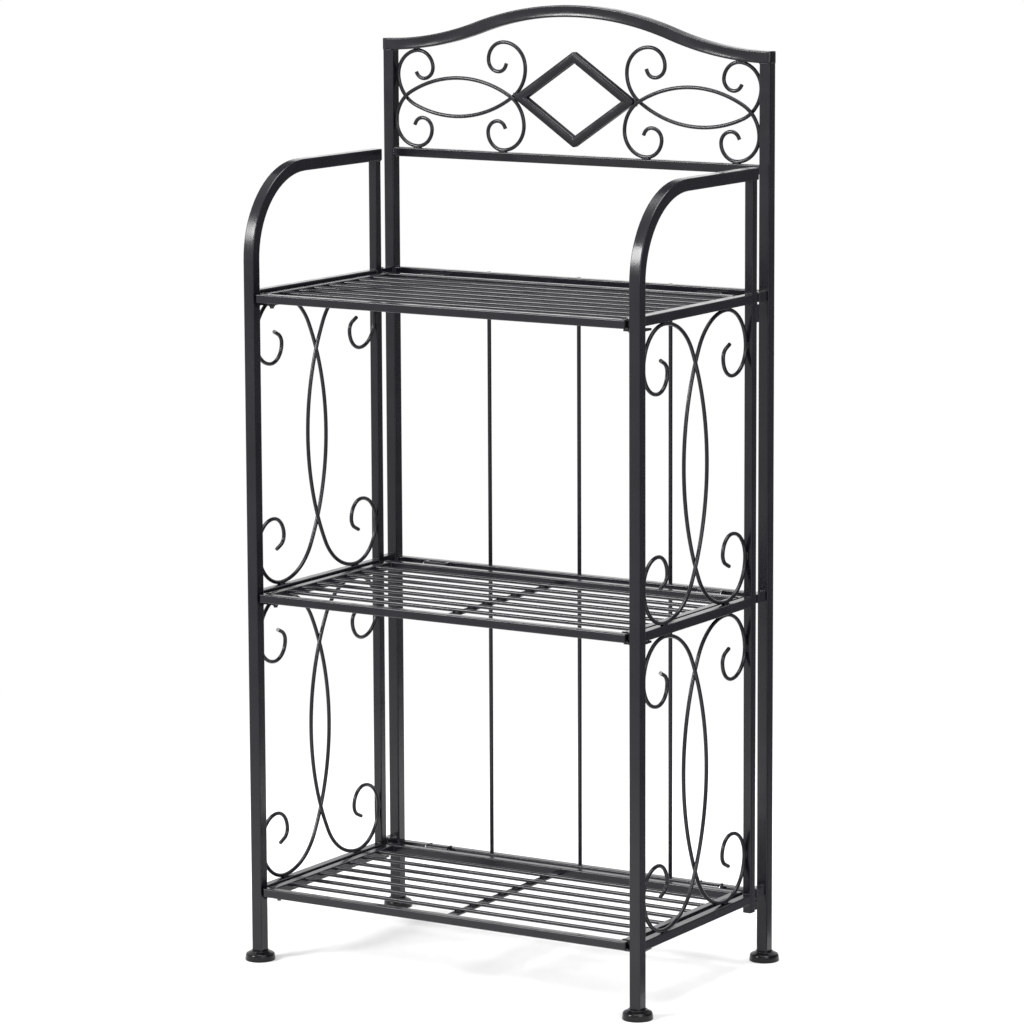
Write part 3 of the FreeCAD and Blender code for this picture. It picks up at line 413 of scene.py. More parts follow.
# Where a seam's middle lies, as shares of its radius
AT_TUBE_END = 0.2      # off the tube's face, and back from the tube's end
OVER_RAIL = 0.5        # off the rail or post that a scroll touches
AT_POST = 0.4          # before the post that a back scroll touches
ON_SPINDLE = 0.4       # behind the crossbar
AT_EAR, AT_BAR = 0.4, 0.3    # beside the ear, before the crossbar
AT_WIRE_END, ROUND_WIRE = 0.3, 0.6    # back from the wire's end, inside the wire's radius
ON_STRAP = 0.35        # over the strap
AT_GUSSET = 0.3        # over and under the gusset, and behind the post

# Places and lengths as shares of the wire or tube that is welded
WIRE_FLANK = 0.42      # beside a wire's middle, of its diameter
STRAP_FLANK = 0.7      # beside a shelf wire's middle, of its radius
CORNER_OUT = 0.2       # off the diamond's corner, of the scroll wire
CORNER_UP, CORNER_LEAN = 1.1, 0.5    # reach of a seam at that corner, up and across, of the scroll wire
SPINDLE_REACH = 0.8    # of half the crossbar's height
GUSSET_REACH = 0.9     # of half the gusset's root

# Phase of the ripples for each metre of a seam's place, so that no two look alike
END_PHASE, PANEL_PHASE, SPINDLE_PHASE, EAR_PHASE, SCROLL_PHASE, GUSSET_PHASE = 90, 70, 50, 40, 60, 30


def seam(place, reach, radius, side, phase=0.0):
    """A straight weld seam from place - reach to place + reach, a tube of radius
    r(s) = radius (1 - TAPER (2 s - 1)^TAPER_POWER)^0.5 (1 + SWELL sin(TURN s run / ripple + phase))."""
    start, end = place - reach, place + reach
    ripple, run = bpy.context.scene.rack_sizes.ripple, np.linalg.norm(end - start)
    share = np.linspace(0, 1, max(FEWEST_RINGS, int(run / ripple * RIPPLE_RINGS) | 1))
    taper = (1 - (2 * share - 1) ** TAPER_POWER * TAPER) ** 0.5
    swell = 1 + SWELL * np.sin(share * run / ripple * TURN + phase)
    return tube(start + share[:, None] * (end - start), radius * taper * swell, side, False)


def ring_seam(centre, axis, reach, radius, phase):
    """A weld round a wire's end, a closed tube along a circle: its radius at the angle a is
    radius (1 + ROUND_SWELL sin(ROUND_SWELLS a + phase))."""
    turn = np.arange(ROUND_RINGS) * TURN / ROUND_RINGS
    one = unit(np.cross(axis, OFF_AXIS))
    other = np.cross(axis, one)
    path = centre + reach * (np.cos(turn)[:, None] * one + np.sin(turn)[:, None] * other)
    return tube(path, radius * (1 + ROUND_SWELL * np.sin(ROUND_SWELLS * turn + phase)), axis, True)


def end_seams(centre, out, one, other, half_one, half_other, sides, radius):
    """Seams on the chosen sides of a tube's end, + and - along one, ^ and v along other. out points from the
    tube to what it is welded on."""
    for number, (mark, axis, half, along, reach) in enumerate((
            ("+", one, half_one, other, half_other), ("-", -one, half_one, other, half_other),
            ("^", other, half_other, one, half_one), ("v", -other, half_other, one, half_one))):
        if mark in sides:
            middle = centre + axis * (half + radius * AT_TUBE_END) - out * radius * AT_TUBE_END
            phase = number + centre[0] * END_PHASE
            yield seam(middle, along * (reach - radius), radius, out, phase)


def upper_contacts(sign, post_face, sizes):
    """Where an upper back scroll's outer loop touches the post and the hollow of the arched rail, and the
    direction of the rail there. The rail's hollow is a circle above the post, the loop one below it."""
    lo, hi = box("arched_top_rail")
    half, loop, wire_half = sizes.post_tube / 2, sizes.panel_loop, sizes.wire / 2
    reach, rise = hi[0], hi[2] - lo[2] - sizes.post_tube
    sweep = 2 * math.atan(rise / reach)
    radius = reach / 2 / math.sin(sweep)
    arch = np.array([reach, lo[2] + half + radius])
    clear = radius + half + loop + wire_half
    loop_x = post_face - loop - wire_half
    loop_z = arch[1] - math.sqrt(clear ** 2 - (reach - loop_x) ** 2)
    y = middle_of("panel_scroll_upper_right")[1]
    away = unit(np.array([loop_x, loop_z]) - arch)
    touch = arch + away * (radius + half)
    on_post = np.array([sign * post_face, y, loop_z])
    return on_post, np.array([sign * touch[0], y, touch[1]]), np.array([sign * -away[1], 0, away[0]])


def back_rail_seams(nodes, sizes):
    """Seams at both ends of the back frame's rails."""
    half = sizes.slim_tube / 2
    for node in nodes:
        for sign, end in ends(node, 0):
            yield from end_seams(end, sign * X, Y, Z, half, half, "+-^v", sizes.seam)


def back_panel_seams(side, sign, sizes):
    """Seams of one half of the back's ornament: post top, scrolls and the diamond's corner."""
    blob, wire, half = sizes.blob, sizes.wire, sizes.post_tube / 2
    top = ends(f"back_post_{side}", 2)[1][1]
    yield from end_seams(top, Z, sign * X, Y, half, half, "-^v", sizes.seam)
    lo, hi = box(f"panel_scroll_lower_{side}")
    reach, y = sizes.panel_loop + wire / 2, (lo[1] + hi[1]) / 2
    for x in (lo[0] + reach, hi[0] - reach):
        for face in (-1, 1):
            place = np.array([x, y + face * wire * WIRE_FLANK, lo[2] + blob * OVER_RAIL])
            yield seam(place, X * wire, blob, Y, x * PANEL_PHASE)
    post_face = hi[0] if sign > 0 else lo[0]
    place = np.array([post_face - sign * blob * AT_POST, y, lo[2] + reach])
    on_post, on_arch, tangent = upper_contacts(sign, abs(post_face), sizes)
    for touch, way in ((place, Z), (on_post, Z), (on_arch, tangent)):
        yield seam(touch, way * wire, blob, Y)
    corner = box("panel_diamond")[1 if sign > 0 else 0]
    corner[1:] = middle_of("panel_diamond")[1:]
    corner[0] += sign * wire * CORNER_OUT
    for tilt in (-1, 1):
        step = (Z * CORNER_UP + tilt * X * CORNER_LEAN) * wire
        yield seam(corner, step, sizes.seam, Y, tilt)


def spindle_seams(bars, sizes):
    """Seams on both sides of each spindle, behind the crossbars."""
    thin, wire = sizes.wire_seam, sizes.wire
    run = Z * (sizes.slim_tube / 2) * SPINDLE_REACH
    lo, hi = box("back_spindles")
    reach = (hi - lo)[0] / 2 - wire / 2
    for node in bars:
        low, high = box(node)
        for x in (-reach, 0, reach):
            for face in (-1, 1):
                place = np.array([x + face * wire * WIRE_FLANK, high[1] + thin * ON_SPINDLE,
                                  (low[2] + high[2]) / 2])
                yield seam(place, run, thin, Y, x * SPINDLE_PHASE + face)


def back_hinge_seams(bars, sizes):
    """Seams of the standoffs on the back posts and of the shelf hinges' ears on the crossbars."""
    thin, arm = sizes.wire_seam, sizes.hinge_arm / 2
    post_front = box("back_post_left")[0][1]
    standoff_x = box("hinge_standoffs")[1][0] - arm
    for low_z, high_z in heights("hinge_standoffs"):
        for sign in SIDES.values():
            centre = np.array([sign * standoff_x, post_front, (low_z + high_z) / 2])
            yield from end_seams(centre, Y, sign * X, Z, arm, (high_z - low_z) / 2, "-^v", sizes.seam)
    outer = box("shelf_hinge_ears")[1][0]
    inner = outer - sizes.ear_span
    for name, node in zip(LEVELS, bars):
        low, high = box(node)
        pin = middle_of(f"shelf_front_rail_{name}")[2]
        foot_z = max(low[2], pin - sizes.ear_weld / 2) + thin
        head_z = min(high[2], pin + sizes.ear_weld / 2) - thin
        for sign in (-1, 1):
            for x, face in ((outer, 1), (inner, -1)):
                place = np.array([sign * (x + face * thin * AT_EAR), low[1] - thin * AT_BAR,
                                  (foot_z + head_z) / 2])
                yield seam(place, Z * (head_z - foot_z) / 2, thin, Y, x * EAR_PHASE)


def back_frame_seams(sizes):
    """All seams of the back frame."""
    bars = [f"back_crossbar_{name}" for name in LEVELS]
    yield from back_rail_seams(bars + ["panel_rail"], sizes)
    for side, sign in SIDES.items():
        yield from back_panel_seams(side, sign, sizes)
    yield from spindle_seams(bars, sizes)
    yield from back_hinge_seams(bars, sizes)


def side_scroll_seams(side, sign, sizes):
    """Seams where a side frame's scrolls touch its rails and posts."""
    thin, wire = sizes.wire_seam, sizes.wire
    loop, lens = sizes.side_loop, sizes.side_lens
    rails = [box(f"side_rail_{name}_{side}") for name in LEVELS]
    front, rear = rails[0][0][1], rails[0][1][1]
    drop = (rear - front - wire) / 2 + lens - loop
    for name, below, above in (("lower", 0, 1), ("upper", 1, 2)):
        lo, hi = box(f"side_scrolls_{name}_{side}")
        for way, post in ((1, front), (-1, rear)):
            y = (front + rear) / 2 + way * (lens - drop)
            for z, up in ((rails[below][1][2], 1), (rails[above][0][2], -1)):
                for face in (-1, 1):
                    x = (lo[0] + hi[0]) / 2 + sign * way * wire / 2 + face * wire * WIRE_FLANK
                    on_rail = np.array([x, y, z + up * thin * OVER_RAIL])
                    yield seam(on_rail, Y * wire, thin, X, y * SCROLL_PHASE)
                    on_post = np.array([x, post + way * thin * OVER_RAIL, z + up * (loop + wire / 2)])
                    yield seam(on_post, Z * wire, thin, X, z * SCROLL_PHASE)


def side_seams(side, sign, sizes):
    """All seams of a side frame."""
    thin, thick = sizes.wire_seam, sizes.seam
    half, arm, root = sizes.slim_tube / 2, sizes.hinge_arm / 2, sizes.gusset_root / 2
    for name in LEVELS:
        for way, end in ends(f"side_rail_{name}_{side}", 1):
            yield from end_seams(end, way * Y, sign * X, Z, half, half, "-^v", thick)
    top = ends(f"rear_post_{side}", 2)[1][1]
    yield from end_seams(top, Z, sign * X, Y, half, half, "-v", thick)
    back = ends(f"rear_post_{side}", 1)[1][1]
    for low_z, high_z in heights(f"hinge_lugs_{side}"):
        lug = np.array([back[0], back[1], (low_z + high_z) / 2])
        yield from end_seams(lug, -Y, sign * X, Z, arm, (high_z - low_z) / 2, "-^v", thin)
    yield from side_scroll_seams(side, sign, sizes)
    inner = box(f"front_post_and_arm_{side}")[0 if sign > 0 else 1][0]
    front = box(f"side_rail_{LEVELS[0]}_{side}")[0][1]
    for low, high in heights(f"corner_gussets_{side}"):
        for z in (low - thin * AT_GUSSET, high + thin * AT_GUSSET):
            place = np.array([inner + sign * root, front + thin * AT_GUSSET, z])
            yield seam(place, X * root * GUSSET_REACH, thin, Z, z * GUSSET_PHASE)


def shelf_seams(name, sizes):
    """All seams of a shelf."""
    thin, half = sizes.wire_seam, sizes.shelf_tube / 2
    count, tack = sizes.wires, X * sizes.tack / 2
    ends_lo, ends_hi = box(f"shelf_end_rails_{name}")
    wires_lo, wires_hi = box(f"shelf_wires_{name}")
    strap_lo, strap_hi = box(f"shelf_strap_{name}")
    rear_face = box(f"shelf_rear_rail_{name}")[1][1]
    z = (ends_lo[2] + ends_hi[2]) / 2
    for sign in SIDES.values():
        x = sign * (ends_hi[0] - half)
        for out, y in ((-Y, ends_lo[1]), (Y, ends_hi[1])):
            yield from end_seams(np.array([x, y, z]), out, sign * X, Z, half, half, "-^v", sizes.seam)
    radius, wire_z = (wires_hi[2] - wires_lo[2]) / 2, (wires_hi[2] + wires_lo[2]) / 2
    places = ends_lo[1] + (ends_hi[1] - ends_lo[1]) * np.arange(1, count + 1) / (count + 1)
    for number, y in enumerate(places):
        for sign, x in ((-1, wires_lo[0]), (1, wires_hi[0])):
            end = np.array([x - sign * thin * AT_WIRE_END, y, wire_z])
            yield ring_seam(end, X, radius - thin * ROUND_WIRE, thin, number)
        for sign in (-1, 1):
            place = np.array([0, y + sign * radius * STRAP_FLANK, strap_hi[2] + thin * ON_STRAP])
            yield seam(place, tack, thin, Y, number)
    strap_half = (strap_hi - strap_lo) / 2
    for way, end in ends(f"shelf_strap_{name}", 1):
        yield from end_seams(end, way * Y, X, Z, strap_half[0], strap_half[2], "v", thin)
    leaf_x = box(f"shelf_hinge_leaves_{name}")[1][0] - sizes.leaf / 2
    for sign in (-1, 1):
        root = np.array([sign * leaf_x, rear_face, z])
        yield from end_seams(root, -Y, X, Z, sizes.leaf / 2, sizes.leaf_thickness / 2, "^v", thin)


# Shader groups

FINISHES = ("charcoal paint", "zinc plate", "black plastic")
MIDDLE_RANGE = (0.3, 0.7)    # where most of a noise's values lie
DRIFT_SCALE, SPECK_HEIGHT = 34.0, 0.35
PLATE_CLOUD, PLATE_GRAIN, PLATE_ROUGHNESS = 120.0, 1500.0, (0.42, 0.28)
PAINT_DRIFT, PLASTIC_DRIFT = (-0.05, 0.06), (-0.04, 0.05)    # round the mean roughness
DULL_ZINC, THIN_PLASTIC = 0.7, 1.5    # shares of the colour
PLASTIC_PEEL, FILM_IOR = 700.0, 1.5
PAINT_BUMP, ZINC_BUMP, PLASTIC_BUMP = (0.25, 0.0002), (0.2, 0.0001), (0.12, 0.0001)    # strength, metres
SURFACE = {"Color": "NodeSocketColor", "Roughness": "NodeSocketFloat", "Height": "NodeSocketFloat"}


def new_group(name, inputs):
    """A shader node group with its inputs, the outputs of SURFACE and its two end nodes."""
    group = bpy.data.node_groups.new(name, "ShaderNodeTree")
    for label, kind, default in inputs:
        socket = group.interface.new_socket(label, in_out="INPUT", socket_type=kind)
        socket.default_value = default
    for label, kind in SURFACE.items():
        group.interface.new_socket(label, in_out="OUTPUT", socket_type=kind)
    return group, group.nodes.new("NodeGroupInput"), group.nodes.new("NodeGroupOutput")


def add_node(tree, kind, inputs=None, **settings):
    """A node with its settings, its inputs set to a value or linked to another node's socket."""
    node = tree.nodes.new(kind)
    for name, value in settings.items():
        setattr(node, name, value)
    for label, value in (inputs or {}).items():
        if isinstance(value, bpy.types.NodeSocket):
            tree.links.new(value, node.inputs[label])
        else:
            node.inputs[label].default_value = value
    return node


def noise(tree, vector, scale, detail):
    inputs = {"Vector": vector, "Scale": scale, "Detail": detail}
    return add_node(tree, "ShaderNodeTexNoise", inputs).outputs["Fac"]


def spread(tree, factor, low, high):
    """Maps a noise's middle range onto low to high."""
    inputs = {"Value": factor, "From Min": MIDDLE_RANGE[0], "From Max": MIDDLE_RANGE[1],
              "To Min": low, "To Max": high}
    return add_node(tree, "ShaderNodeMapRange", inputs).outputs["Result"]


def blend(tree, factor, one, other):
    """A colour from one to other over a noise's middle range."""
    inputs = {"Factor": spread(tree, factor, 0.0, 1.0), "A": one, "B": other}
    return add_node(tree, "ShaderNodeMix", inputs, data_type="RGBA").outputs["Result"]


def sprayed_film():
    """Sprayed and baked paint: a colour that clouds with the film's thickness, a roughness that drifts,
    and the height of the fine orange peel and of the specks caught in it."""
    group, start, end = new_group(
        "sprayed film",
        [("Thick", "NodeSocketColor", (0, 0, 0, 1)), ("Thin", "NodeSocketColor", (0, 0, 0, 1)),
         ("Cloud Scale", "NodeSocketFloat", 18.0), ("Peel Scale", "NodeSocketFloat", 420.0),
         ("Speck Scale", "NodeSocketFloat", 900.0), ("Smooth", "NodeSocketFloat", 0.3),
         ("Rough", "NodeSocketFloat", 0.4)])
    place = add_node(group, "ShaderNodeTexCoord").outputs["Object"]
    cloud = noise(group, place, start.outputs["Cloud Scale"], detail=3)
    peel = noise(group, place, start.outputs["Peel Scale"], detail=1)
    speck = noise(group, place, start.outputs["Speck Scale"], detail=2)
    drift = noise(group, place, DRIFT_SCALE, detail=2)
    colour = blend(group, cloud, start.outputs["Thick"], start.outputs["Thin"])
    rough = spread(group, drift, start.outputs["Smooth"], start.outputs["Rough"])
    lift = add_node(group, "ShaderNodeMath", {0: speck, 1: SPECK_HEIGHT, 2: peel}, operation="MULTIPLY_ADD")
    for label, result in zip(SURFACE, (colour, rough, lift.outputs["Value"])):
        group.links.new(result, end.inputs[label])
    return group


def plated_grain():
    """Drawn and plated steel: a clouded colour and roughness, and the height of a fine grain."""
    group, start, end = new_group(
        "plated grain",
        [("Bright", "NodeSocketColor", (1, 1, 1, 1)), ("Dull", "NodeSocketColor", (0.5, 0.5, 0.5, 1))])
    place = add_node(group, "ShaderNodeTexCoord").outputs["Object"]
    cloud = noise(group, place, PLATE_CLOUD, detail=3)
    grain = noise(group, place, PLATE_GRAIN, detail=2)
    colour = blend(group, cloud, start.outputs["Dull"], start.outputs["Bright"])
    for label, result in zip(SURFACE, (colour, spread(group, cloud, *PLATE_ROUGHNESS), grain)):
        group.links.new(result, end.inputs[label])
    return group


def finish_material(name, group, values, bump, settings):
    """A Principled material fed by one of the groups. Plain numbers are set on the shader's own sockets."""
    material = bpy.data.materials.new(name)
    material.use_nodes = True
    tree = material.node_tree
    shader = tree.nodes["Principled BSDF"]
    effect = add_node(tree, "ShaderNodeGroup", values, node_tree=group)
    relief = add_node(tree, "ShaderNodeBump", {"Height": effect.outputs["Height"], "Strength": bump[0],
                                               "Distance": bump[1]})
    tree.links.new(relief.outputs["Normal"], shader.inputs["Normal"])
    tree.links.new(effect.outputs["Color"], shader.inputs["Base Color"])
    tree.links.new(effect.outputs["Roughness"], shader.inputs["Roughness"])
    for label, value in settings.items():
        shader.inputs[label].default_value = value
    return material


def toned(colour, share):
    """A colour made darker or lighter."""
    return tuple(share * part for part in colour[:3]) + (1,)


def materials():
    """The three finishes, made once: paint, zinc and plastic."""
    if FINISHES[0] in bpy.data.materials:
        return [bpy.data.materials[name] for name in FINISHES]
    finish, film, grain = bpy.context.scene.rack_finish, sprayed_film(), plated_grain()
    smooth, rough = (finish.paint_roughness + drift for drift in PAINT_DRIFT)
    paint = finish_material(
        FINISHES[0], film,
        {"Thick": finish.paint, "Thin": finish.paint_thin, "Smooth": smooth, "Rough": rough},
        PAINT_BUMP, {"IOR": FILM_IOR, "Specular IOR Level": finish.paint_gloss})
    zinc = finish_material(
        FINISHES[1], grain, {"Bright": finish.steel, "Dull": toned(finish.steel, DULL_ZINC)},
        ZINC_BUMP, {"Metallic": 1.0})
    smooth, rough = (finish.plastic_roughness + drift for drift in PLASTIC_DRIFT)
    plastic = finish_material(
        FINISHES[2], film,
        {"Thick": finish.plastic, "Thin": toned(finish.plastic, THIN_PLASTIC), "Peel Scale": PLASTIC_PEEL,
         "Smooth": smooth, "Rough": rough},
        PLASTIC_BUMP, {"IOR": FILM_IOR, "Specular IOR Level": finish.plastic_gloss})
    return paint, zinc, plastic


def seen_rays(tree):
    """One for rays from the camera and in reflections or through glass, nothing for the light on the rack."""
    path = add_node(tree, "ShaderNodeLightPath")
    either = path.outputs["Is Camera Ray"]
    for label in ("Is Glossy Ray", "Is Transmission Ray"):
        inputs = {0: either, 1: path.outputs[label]}
        either = add_node(tree, "ShaderNodeMath", inputs, operation="MAXIMUM").outputs["Value"]
    return either


# Operators

class RACK_OT_finish(bpy.types.Operator):
    """Gives every solid of the frame its paint, plating or plastic"""

    bl_idname = "rack.finish"
    bl_label = "Paint the frame"

    def execute(self, context):
        paint, zinc, plastic = materials()
        for name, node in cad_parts.items():
            chosen = plastic if "foot" in name else zinc if name.endswith("_pins") else paint
            node.data.materials.clear()
            node.data.materials.append(chosen)
        return {"FINISHED"}


class RACK_OT_welds(bpy.types.Operator):
    """Lays the weld seams of the back frame, the side frames and the shelves"""

    bl_idname = "rack.welds"
    bl_label = "Lay the welds"

    def execute(self, context):
        sizes, paint = context.scene.rack_sizes, materials()[0]
        build("back_frame_welds", back_frame_seams(sizes), paint, "back_frame")
        for side, sign in SIDES.items():
            build(f"side_frame_welds_{side}", side_seams(side, sign, sizes), paint, f"side_{side}")
        for name in LEVELS:
            build(f"shelf_welds_{name}", shelf_seams(name, sizes), paint, f"shelf_{name}")
        return {"FINISHED"}


class RACK_OT_feet(bpy.types.Operator):
    """Turns the four moulded feet: a rounded sole, a round shoulder and a low cone to the post"""

    bl_idname = "rack.feet"
    bl_label = "Turn the feet"

    def execute(self, context):
        sizes, plastic = context.scene.rack_sizes, materials()[2]
        base, shoulder, neck = sizes.foot_base / 2, sizes.foot_shoulder / 2, sizes.foot_neck / 2
        reaches = (sizes.sole_round, sizes.shoulder_round, sizes.lip_round, sizes.lip_round)
        for end, bodies in (("front", ("side_left", "side_right")), ("back", ("back_frame", "back_frame"))):
            for side, body in zip(SIDES, bodies):
                node = f"{end}_foot_{side}"
                lo, hi = box(node)
                top = hi[2] - lo[2]
                outline = [(0, 0), (base, 0), (shoulder, sizes.foot_rise), (neck, top - sizes.foot_lip),
                           (neck, top), (0, top)]
                shape = spun(rounded(outline, reaches), ends(node, 2)[0][1])
                piece = build(f"moulded_foot_{end}_{side}", [shape], plastic, body)
                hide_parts(node)
        return {"FINISHED"}


class RACK_OT_arch(bpy.types.Operator):
    """Bends the arched rail, with faces dished by the bending"""

    bl_idname = "rack.arch"
    bl_label = "Bend the arch"

    def execute(self, context):
        sizes = context.scene.rack_sizes
        half = sizes.post_tube / 2
        lo, hi = box("arched_top_rail")
        shape = arched_tube(hi[0], lo[2] + half, hi[2] - half, (lo[1] + hi[1]) / 2, half,
                            sizes.tube_round, sizes.dish)
        piece = build("dished_arch_rail", [shape], materials()[0], "back_frame")
        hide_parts("arched_top_rail")
        return {"FINISHED"}


class RACK_OT_diamond(bpy.types.Operator):
    """Welds up the diamond from tube with well rounded edges"""

    bl_idname = "rack.diamond"
    bl_label = "Weld the diamond"

    def execute(self, context):
        sizes = context.scene.rack_sizes
        lo, hi = box("panel_diamond")
        shape = mitred_diamond((hi - lo)[0] / 2, (hi - lo)[2] / 2, (lo + hi) / 2, sizes.slim_tube / 2,
                               sizes.diamond_edge, sizes.diamond_crown, sizes.diamond_round)
        piece = build("rounded_diamond", [shape], materials()[0], "back_frame")
        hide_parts("panel_diamond")
        return {"FINISHED"}


class RACK_OT_plugs(bpy.types.Operator):
    """Closes the open tube ends with moulded plugs"""

    bl_idname = "rack.plugs"
    bl_label = "Plug the tubes"

    def execute(self, context):
        sizes, plastic = context.scene.rack_sizes, materials()[2]
        rise = sizes.plug_rise
        post, slim, shelf = (side / 2 - sizes.plug_gap
                             for side in (sizes.post_tube, sizes.slim_tube, sizes.shelf_tube))
        z = box("back_post_left")[1][2] + sizes.post_tube / 2
        arch = [domed_plug(np.array([end[0], end[1], z]), sign * X, Y, post, rise)
                for sign, end in ends("arched_top_rail", 0)]
        build("arched_rail_plugs", arch, plastic, "back_frame")
        for side in SIDES:
            lo, hi = box(f"front_post_and_arm_{side}")
            arm = np.array([(lo[0] + hi[0]) / 2, hi[1], hi[2] - sizes.post_tube / 2])
            foot = ends(f"rear_post_{side}", 2)[0][1]
            plugs = [domed_plug(arm, Y, Z, post, rise), domed_plug(foot, -Z, X, slim, rise)]
            build(f"side_frame_plugs_{side}", plugs, plastic, f"side_{side}")
        for name in LEVELS:
            plugs = [domed_plug(end, sign * X, Y, shelf, rise)
                     for rail in ("front", "rear") for sign, end in ends(f"shelf_{rail}_rail_{name}", 0)]
            build(f"shelf_plugs_{name}", plugs, plastic, f"shelf_{name}")
        return {"FINISHED"}


def stage_mesh(name, points, faces, material_name):
    """A mesh of the studio with a material of its own. Returns the object and the material's node tree."""
    mesh = bpy.data.meshes.new(name)
    mesh.from_pydata(points.tolist(), [], faces)
    mesh.update()
    piece = bpy.data.objects.new(name, mesh)
    bpy.context.scene.collection.objects.link(piece)
    material = bpy.data.materials.new(material_name)
    material.use_nodes = True
    mesh.materials.append(material)
    return piece, material.node_tree


class RACK_OT_stage(bpy.types.Operator):
    """Sets the floor, the soft studio light, the glowing cards that paint dark reflections and the camera"""

    bl_idname = "rack.stage"
    bl_label = "Set the stage"

    def execute(self, context):
        stage = context.scene.rack_stage
        self.floor(stage)
        self.world(stage)
        for name in ("key", "fill", "top", "rim"):
            energy, size, place = (getattr(stage, name + part) for part in ("", "_size", "_place"))
            self.lamp(name, energy, size, Vector(place), Vector(stage.aim))
        self.cards(stage)
        self.camera(stage)
        context.scene.view_settings.view_transform = "Standard"
        return {"FINISHED"}

    @staticmethod
    def floor(stage, radius=60.0, rings=24, sections=96, crowding=3, roughness=0.9):
        """A disc about the origin: P(r, a) = r (cos a, sin a, 0), pale near the rack and white far from it.
        Its rings crowd towards the middle."""
        share = np.linspace(0, 1, rings) ** crowding
        turn = np.arange(sections) * TURN / sections
        points = np.stack([np.outer(share, np.cos(turn)) * radius, np.outer(share, np.sin(turn)) * radius,
                           np.zeros((rings, sections))], -1)[1:].reshape(-1, 3)
        column = np.arange(sections)
        fan = np.stack([np.full(sections, len(points)), column, (column + 1) % sections], -1)
        quads = ring_quads(rings - 1, sections)[:, ::-1]
        floor, tree = stage_mesh("floor", np.vstack([points, [[0, 0, 0]]]), quads.tolist() + fan.tolist(),
                                 "pale floor")
        shader = tree.nodes["Principled BSDF"]
        shader.inputs["Base Color"].default_value = stage.floor
        shader.inputs["Roughness"].default_value = roughness
        shader.inputs["Specular IOR Level"].default_value = 0.0
        place = add_node(tree, "ShaderNodeTexCoord").outputs["Object"]
        distance = add_node(tree, "ShaderNodeVectorMath", {0: place}, operation="LENGTH").outputs["Value"]
        inputs = {"Value": distance, "From Min": stage.fade_start, "From Max": stage.fade_end}
        fade = add_node(tree, "ShaderNodeMapRange", inputs, interpolation_type="SMOOTHSTEP").outputs["Result"]
        seen = add_node(tree, "ShaderNodeMath", {0: fade, 1: seen_rays(tree)}, operation="MULTIPLY")
        white = add_node(tree, "ShaderNodeEmission").outputs["Emission"]
        inputs = {"Fac": seen.outputs["Value"], 1: shader.outputs["BSDF"], 2: white}
        mix = add_node(tree, "ShaderNodeMixShader", inputs).outputs["Shader"]
        tree.links.new(mix, tree.nodes["Material Output"].inputs["Surface"])

    @staticmethod
    def world(stage):
        """White to the camera and in reflections, a lower even light elsewhere."""
        world = bpy.context.scene.world or bpy.data.worlds.new("studio")
        bpy.context.scene.world = world
        world.use_nodes = True
        tree = world.node_tree
        tree.nodes.clear()
        white = (1, 1, 1, 1)
        seen = add_node(tree, "ShaderNodeBackground", {"Color": white})
        even = add_node(tree, "ShaderNodeBackground", {"Color": white, "Strength": stage.ambient})
        inputs = {"Fac": seen_rays(tree), 1: even.outputs["Background"], 2: seen.outputs["Background"]}
        mix = add_node(tree, "ShaderNodeMixShader", inputs).outputs["Shader"]
        add_node(tree, "ShaderNodeOutputWorld", {"Surface": mix})

    @staticmethod
    def lamp(name, energy, size, place, aim):
        data = bpy.data.lights.new(name, "AREA")
        data.energy, data.shape, data.size = energy, "DISK", size
        lamp = bpy.data.objects.new(name, data)
        lamp.location = place
        lamp.rotation_euler = (aim - place).to_track_quat("-Z", "Y").to_euler()
        lamp.visible_camera = False
        bpy.context.scene.collection.objects.link(lamp)

    def cards(self, stage):
        """Two cards to the right of the rack and two behind it, one of each pair just over the floor: painted
        reflections, each glowing with a dark tone that only reflections see.
        """
        near, far, front, lift = stage.card_near, stage.card_far, stage.card_front, stage.card_lift
        width, back, dark = stage.back_card_width, stage.back_card_place, stage.back_painted_reflection
        inwards = (0, stage.card_depth, 0)
        self.card("upright card", (far, front, 0), inwards, (0, 0, stage.card_height), stage.upright_painted_reflection)
        self.card("low card", (near, front, lift), inwards, (far - near, 0, 0), stage.low_painted_reflection)
        along = (width / 2 + stage.back_card_edge, 0, 0)
        self.card("back low card", (-width / 2, back, lift), along, inwards, dark)
        high = (-width / 2, back, stage.back_card_lift)
        self.card("back high card", high, (width, 0, 0), (0, 0, stage.back_card_height), dark)

    @staticmethod
    def card(name, corner, along, across, tone):
        """A painted dark reflection: a card P(u, v) = corner + u along + v across that glows with its tone,
        seen in reflections alone and casting no shadow.
        """
        u, v = (a.ravel()[:, None] for a in np.meshgrid([0, 1], [0, 1], indexing="ij"))
        points = np.array(corner) + u * np.array(along) + v * np.array(across)
        card, tree = stage_mesh(name, points, [[0, 1, 3, 2]], name)
        # Painted reflection: the card glows with its dark tone, unseen by the camera, by diffuse light and by
        # shadows
        card.visible_camera = card.visible_diffuse = card.visible_shadow = card.visible_transmission = False
        dark = add_node(tree, "ShaderNodeEmission", {"Color": tone}).outputs["Emission"]
        tree.links.new(dark, tree.nodes["Material Output"].inputs["Surface"])

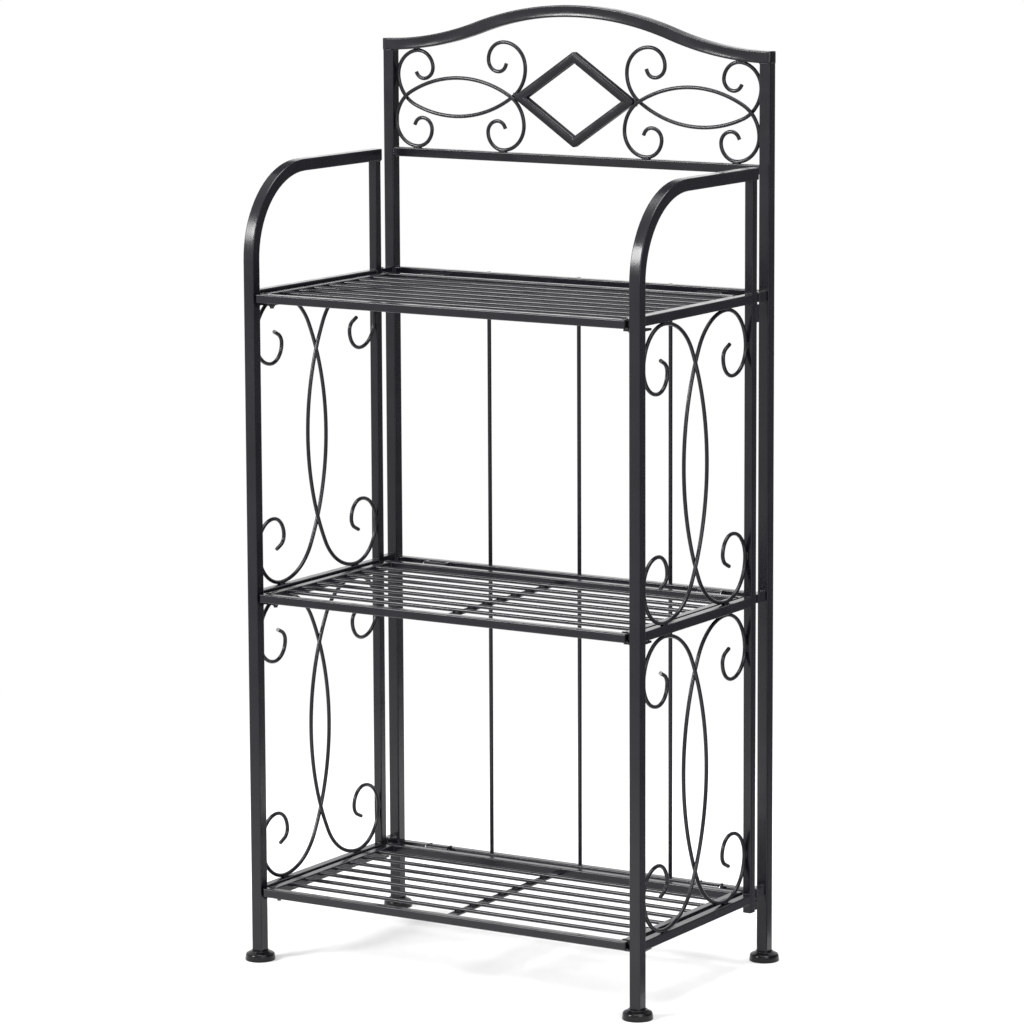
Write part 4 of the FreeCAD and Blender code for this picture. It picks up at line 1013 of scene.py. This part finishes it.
    @staticmethod
    def camera(stage, sensor=36.0, clip=(0.1, 200.0)):
        data = bpy.data.cameras.new("camera")
        data.sensor_fit, data.sensor_width = "HORIZONTAL", sensor
        data.lens = stage.focal * sensor
        data.shift_x, data.shift_y = stage.shift
        data.clip_start, data.clip_end = clip
        camera = bpy.data.objects.new("camera", data)
        yaw, pitch = stage.camera_yaw, stage.camera_pitch
        flat = math.cos(pitch)
        ahead = Vector((-math.sin(yaw) * flat, math.cos(yaw) * flat, -math.sin(pitch)))
        right = ahead.cross(Vector((0, 0, 1))).normalized()
        turn = Matrix((right, right.cross(ahead), -ahead)).transposed()
        camera.matrix_world = Matrix.Translation(stage.camera_place) @ turn.to_4x4()
        bpy.context.scene.collection.objects.link(camera)
        bpy.context.scene.camera = camera


class RACK_PT_builder(bpy.types.Panel):
    """The rack's finishes, sizes and steps"""

    bl_label = "Bakers rack"
    bl_idname = "RACK_PT_builder"
    bl_space_type = "VIEW_3D"
    bl_region_type = "UI"
    bl_category = "Rack"

    def draw(self, context):
        for group in (context.scene.rack_finish, context.scene.rack_sizes, context.scene.rack_stage):
            box_layout = self.layout.box()
            for name in group.__annotations__:
                box_layout.prop(group, name)
        for operator in OPERATORS:
            self.layout.operator(operator.bl_idname)


GROUPS = {"rack_finish": RackFinish, "rack_sizes": RackSizes, "rack_stage": RackStage}
OPERATORS = (RACK_OT_finish, RACK_OT_welds, RACK_OT_arch, RACK_OT_diamond, RACK_OT_feet, RACK_OT_plugs,
             RACK_OT_stage)


def register():
    for cls in (*GROUPS.values(), *OPERATORS, RACK_PT_builder):
        bpy.utils.register_class(cls)
    for name, cls in GROUPS.items():
        setattr(bpy.types.Scene, name, PointerProperty(type=cls))


def unregister():
    for name in GROUPS:
        delattr(bpy.types.Scene, name)
    for cls in (RACK_PT_builder, *reversed(OPERATORS), *reversed(GROUPS.values())):
        bpy.utils.unregister_class(cls)


def main():
    register()
    bpy.ops.rack.finish()
    bpy.ops.rack.welds()
    bpy.ops.rack.arch()
    bpy.ops.rack.diamond()
    bpy.ops.rack.feet()
    bpy.ops.rack.plugs()
    bpy.ops.rack.stage()


if __name__ == "__main__":
    main()
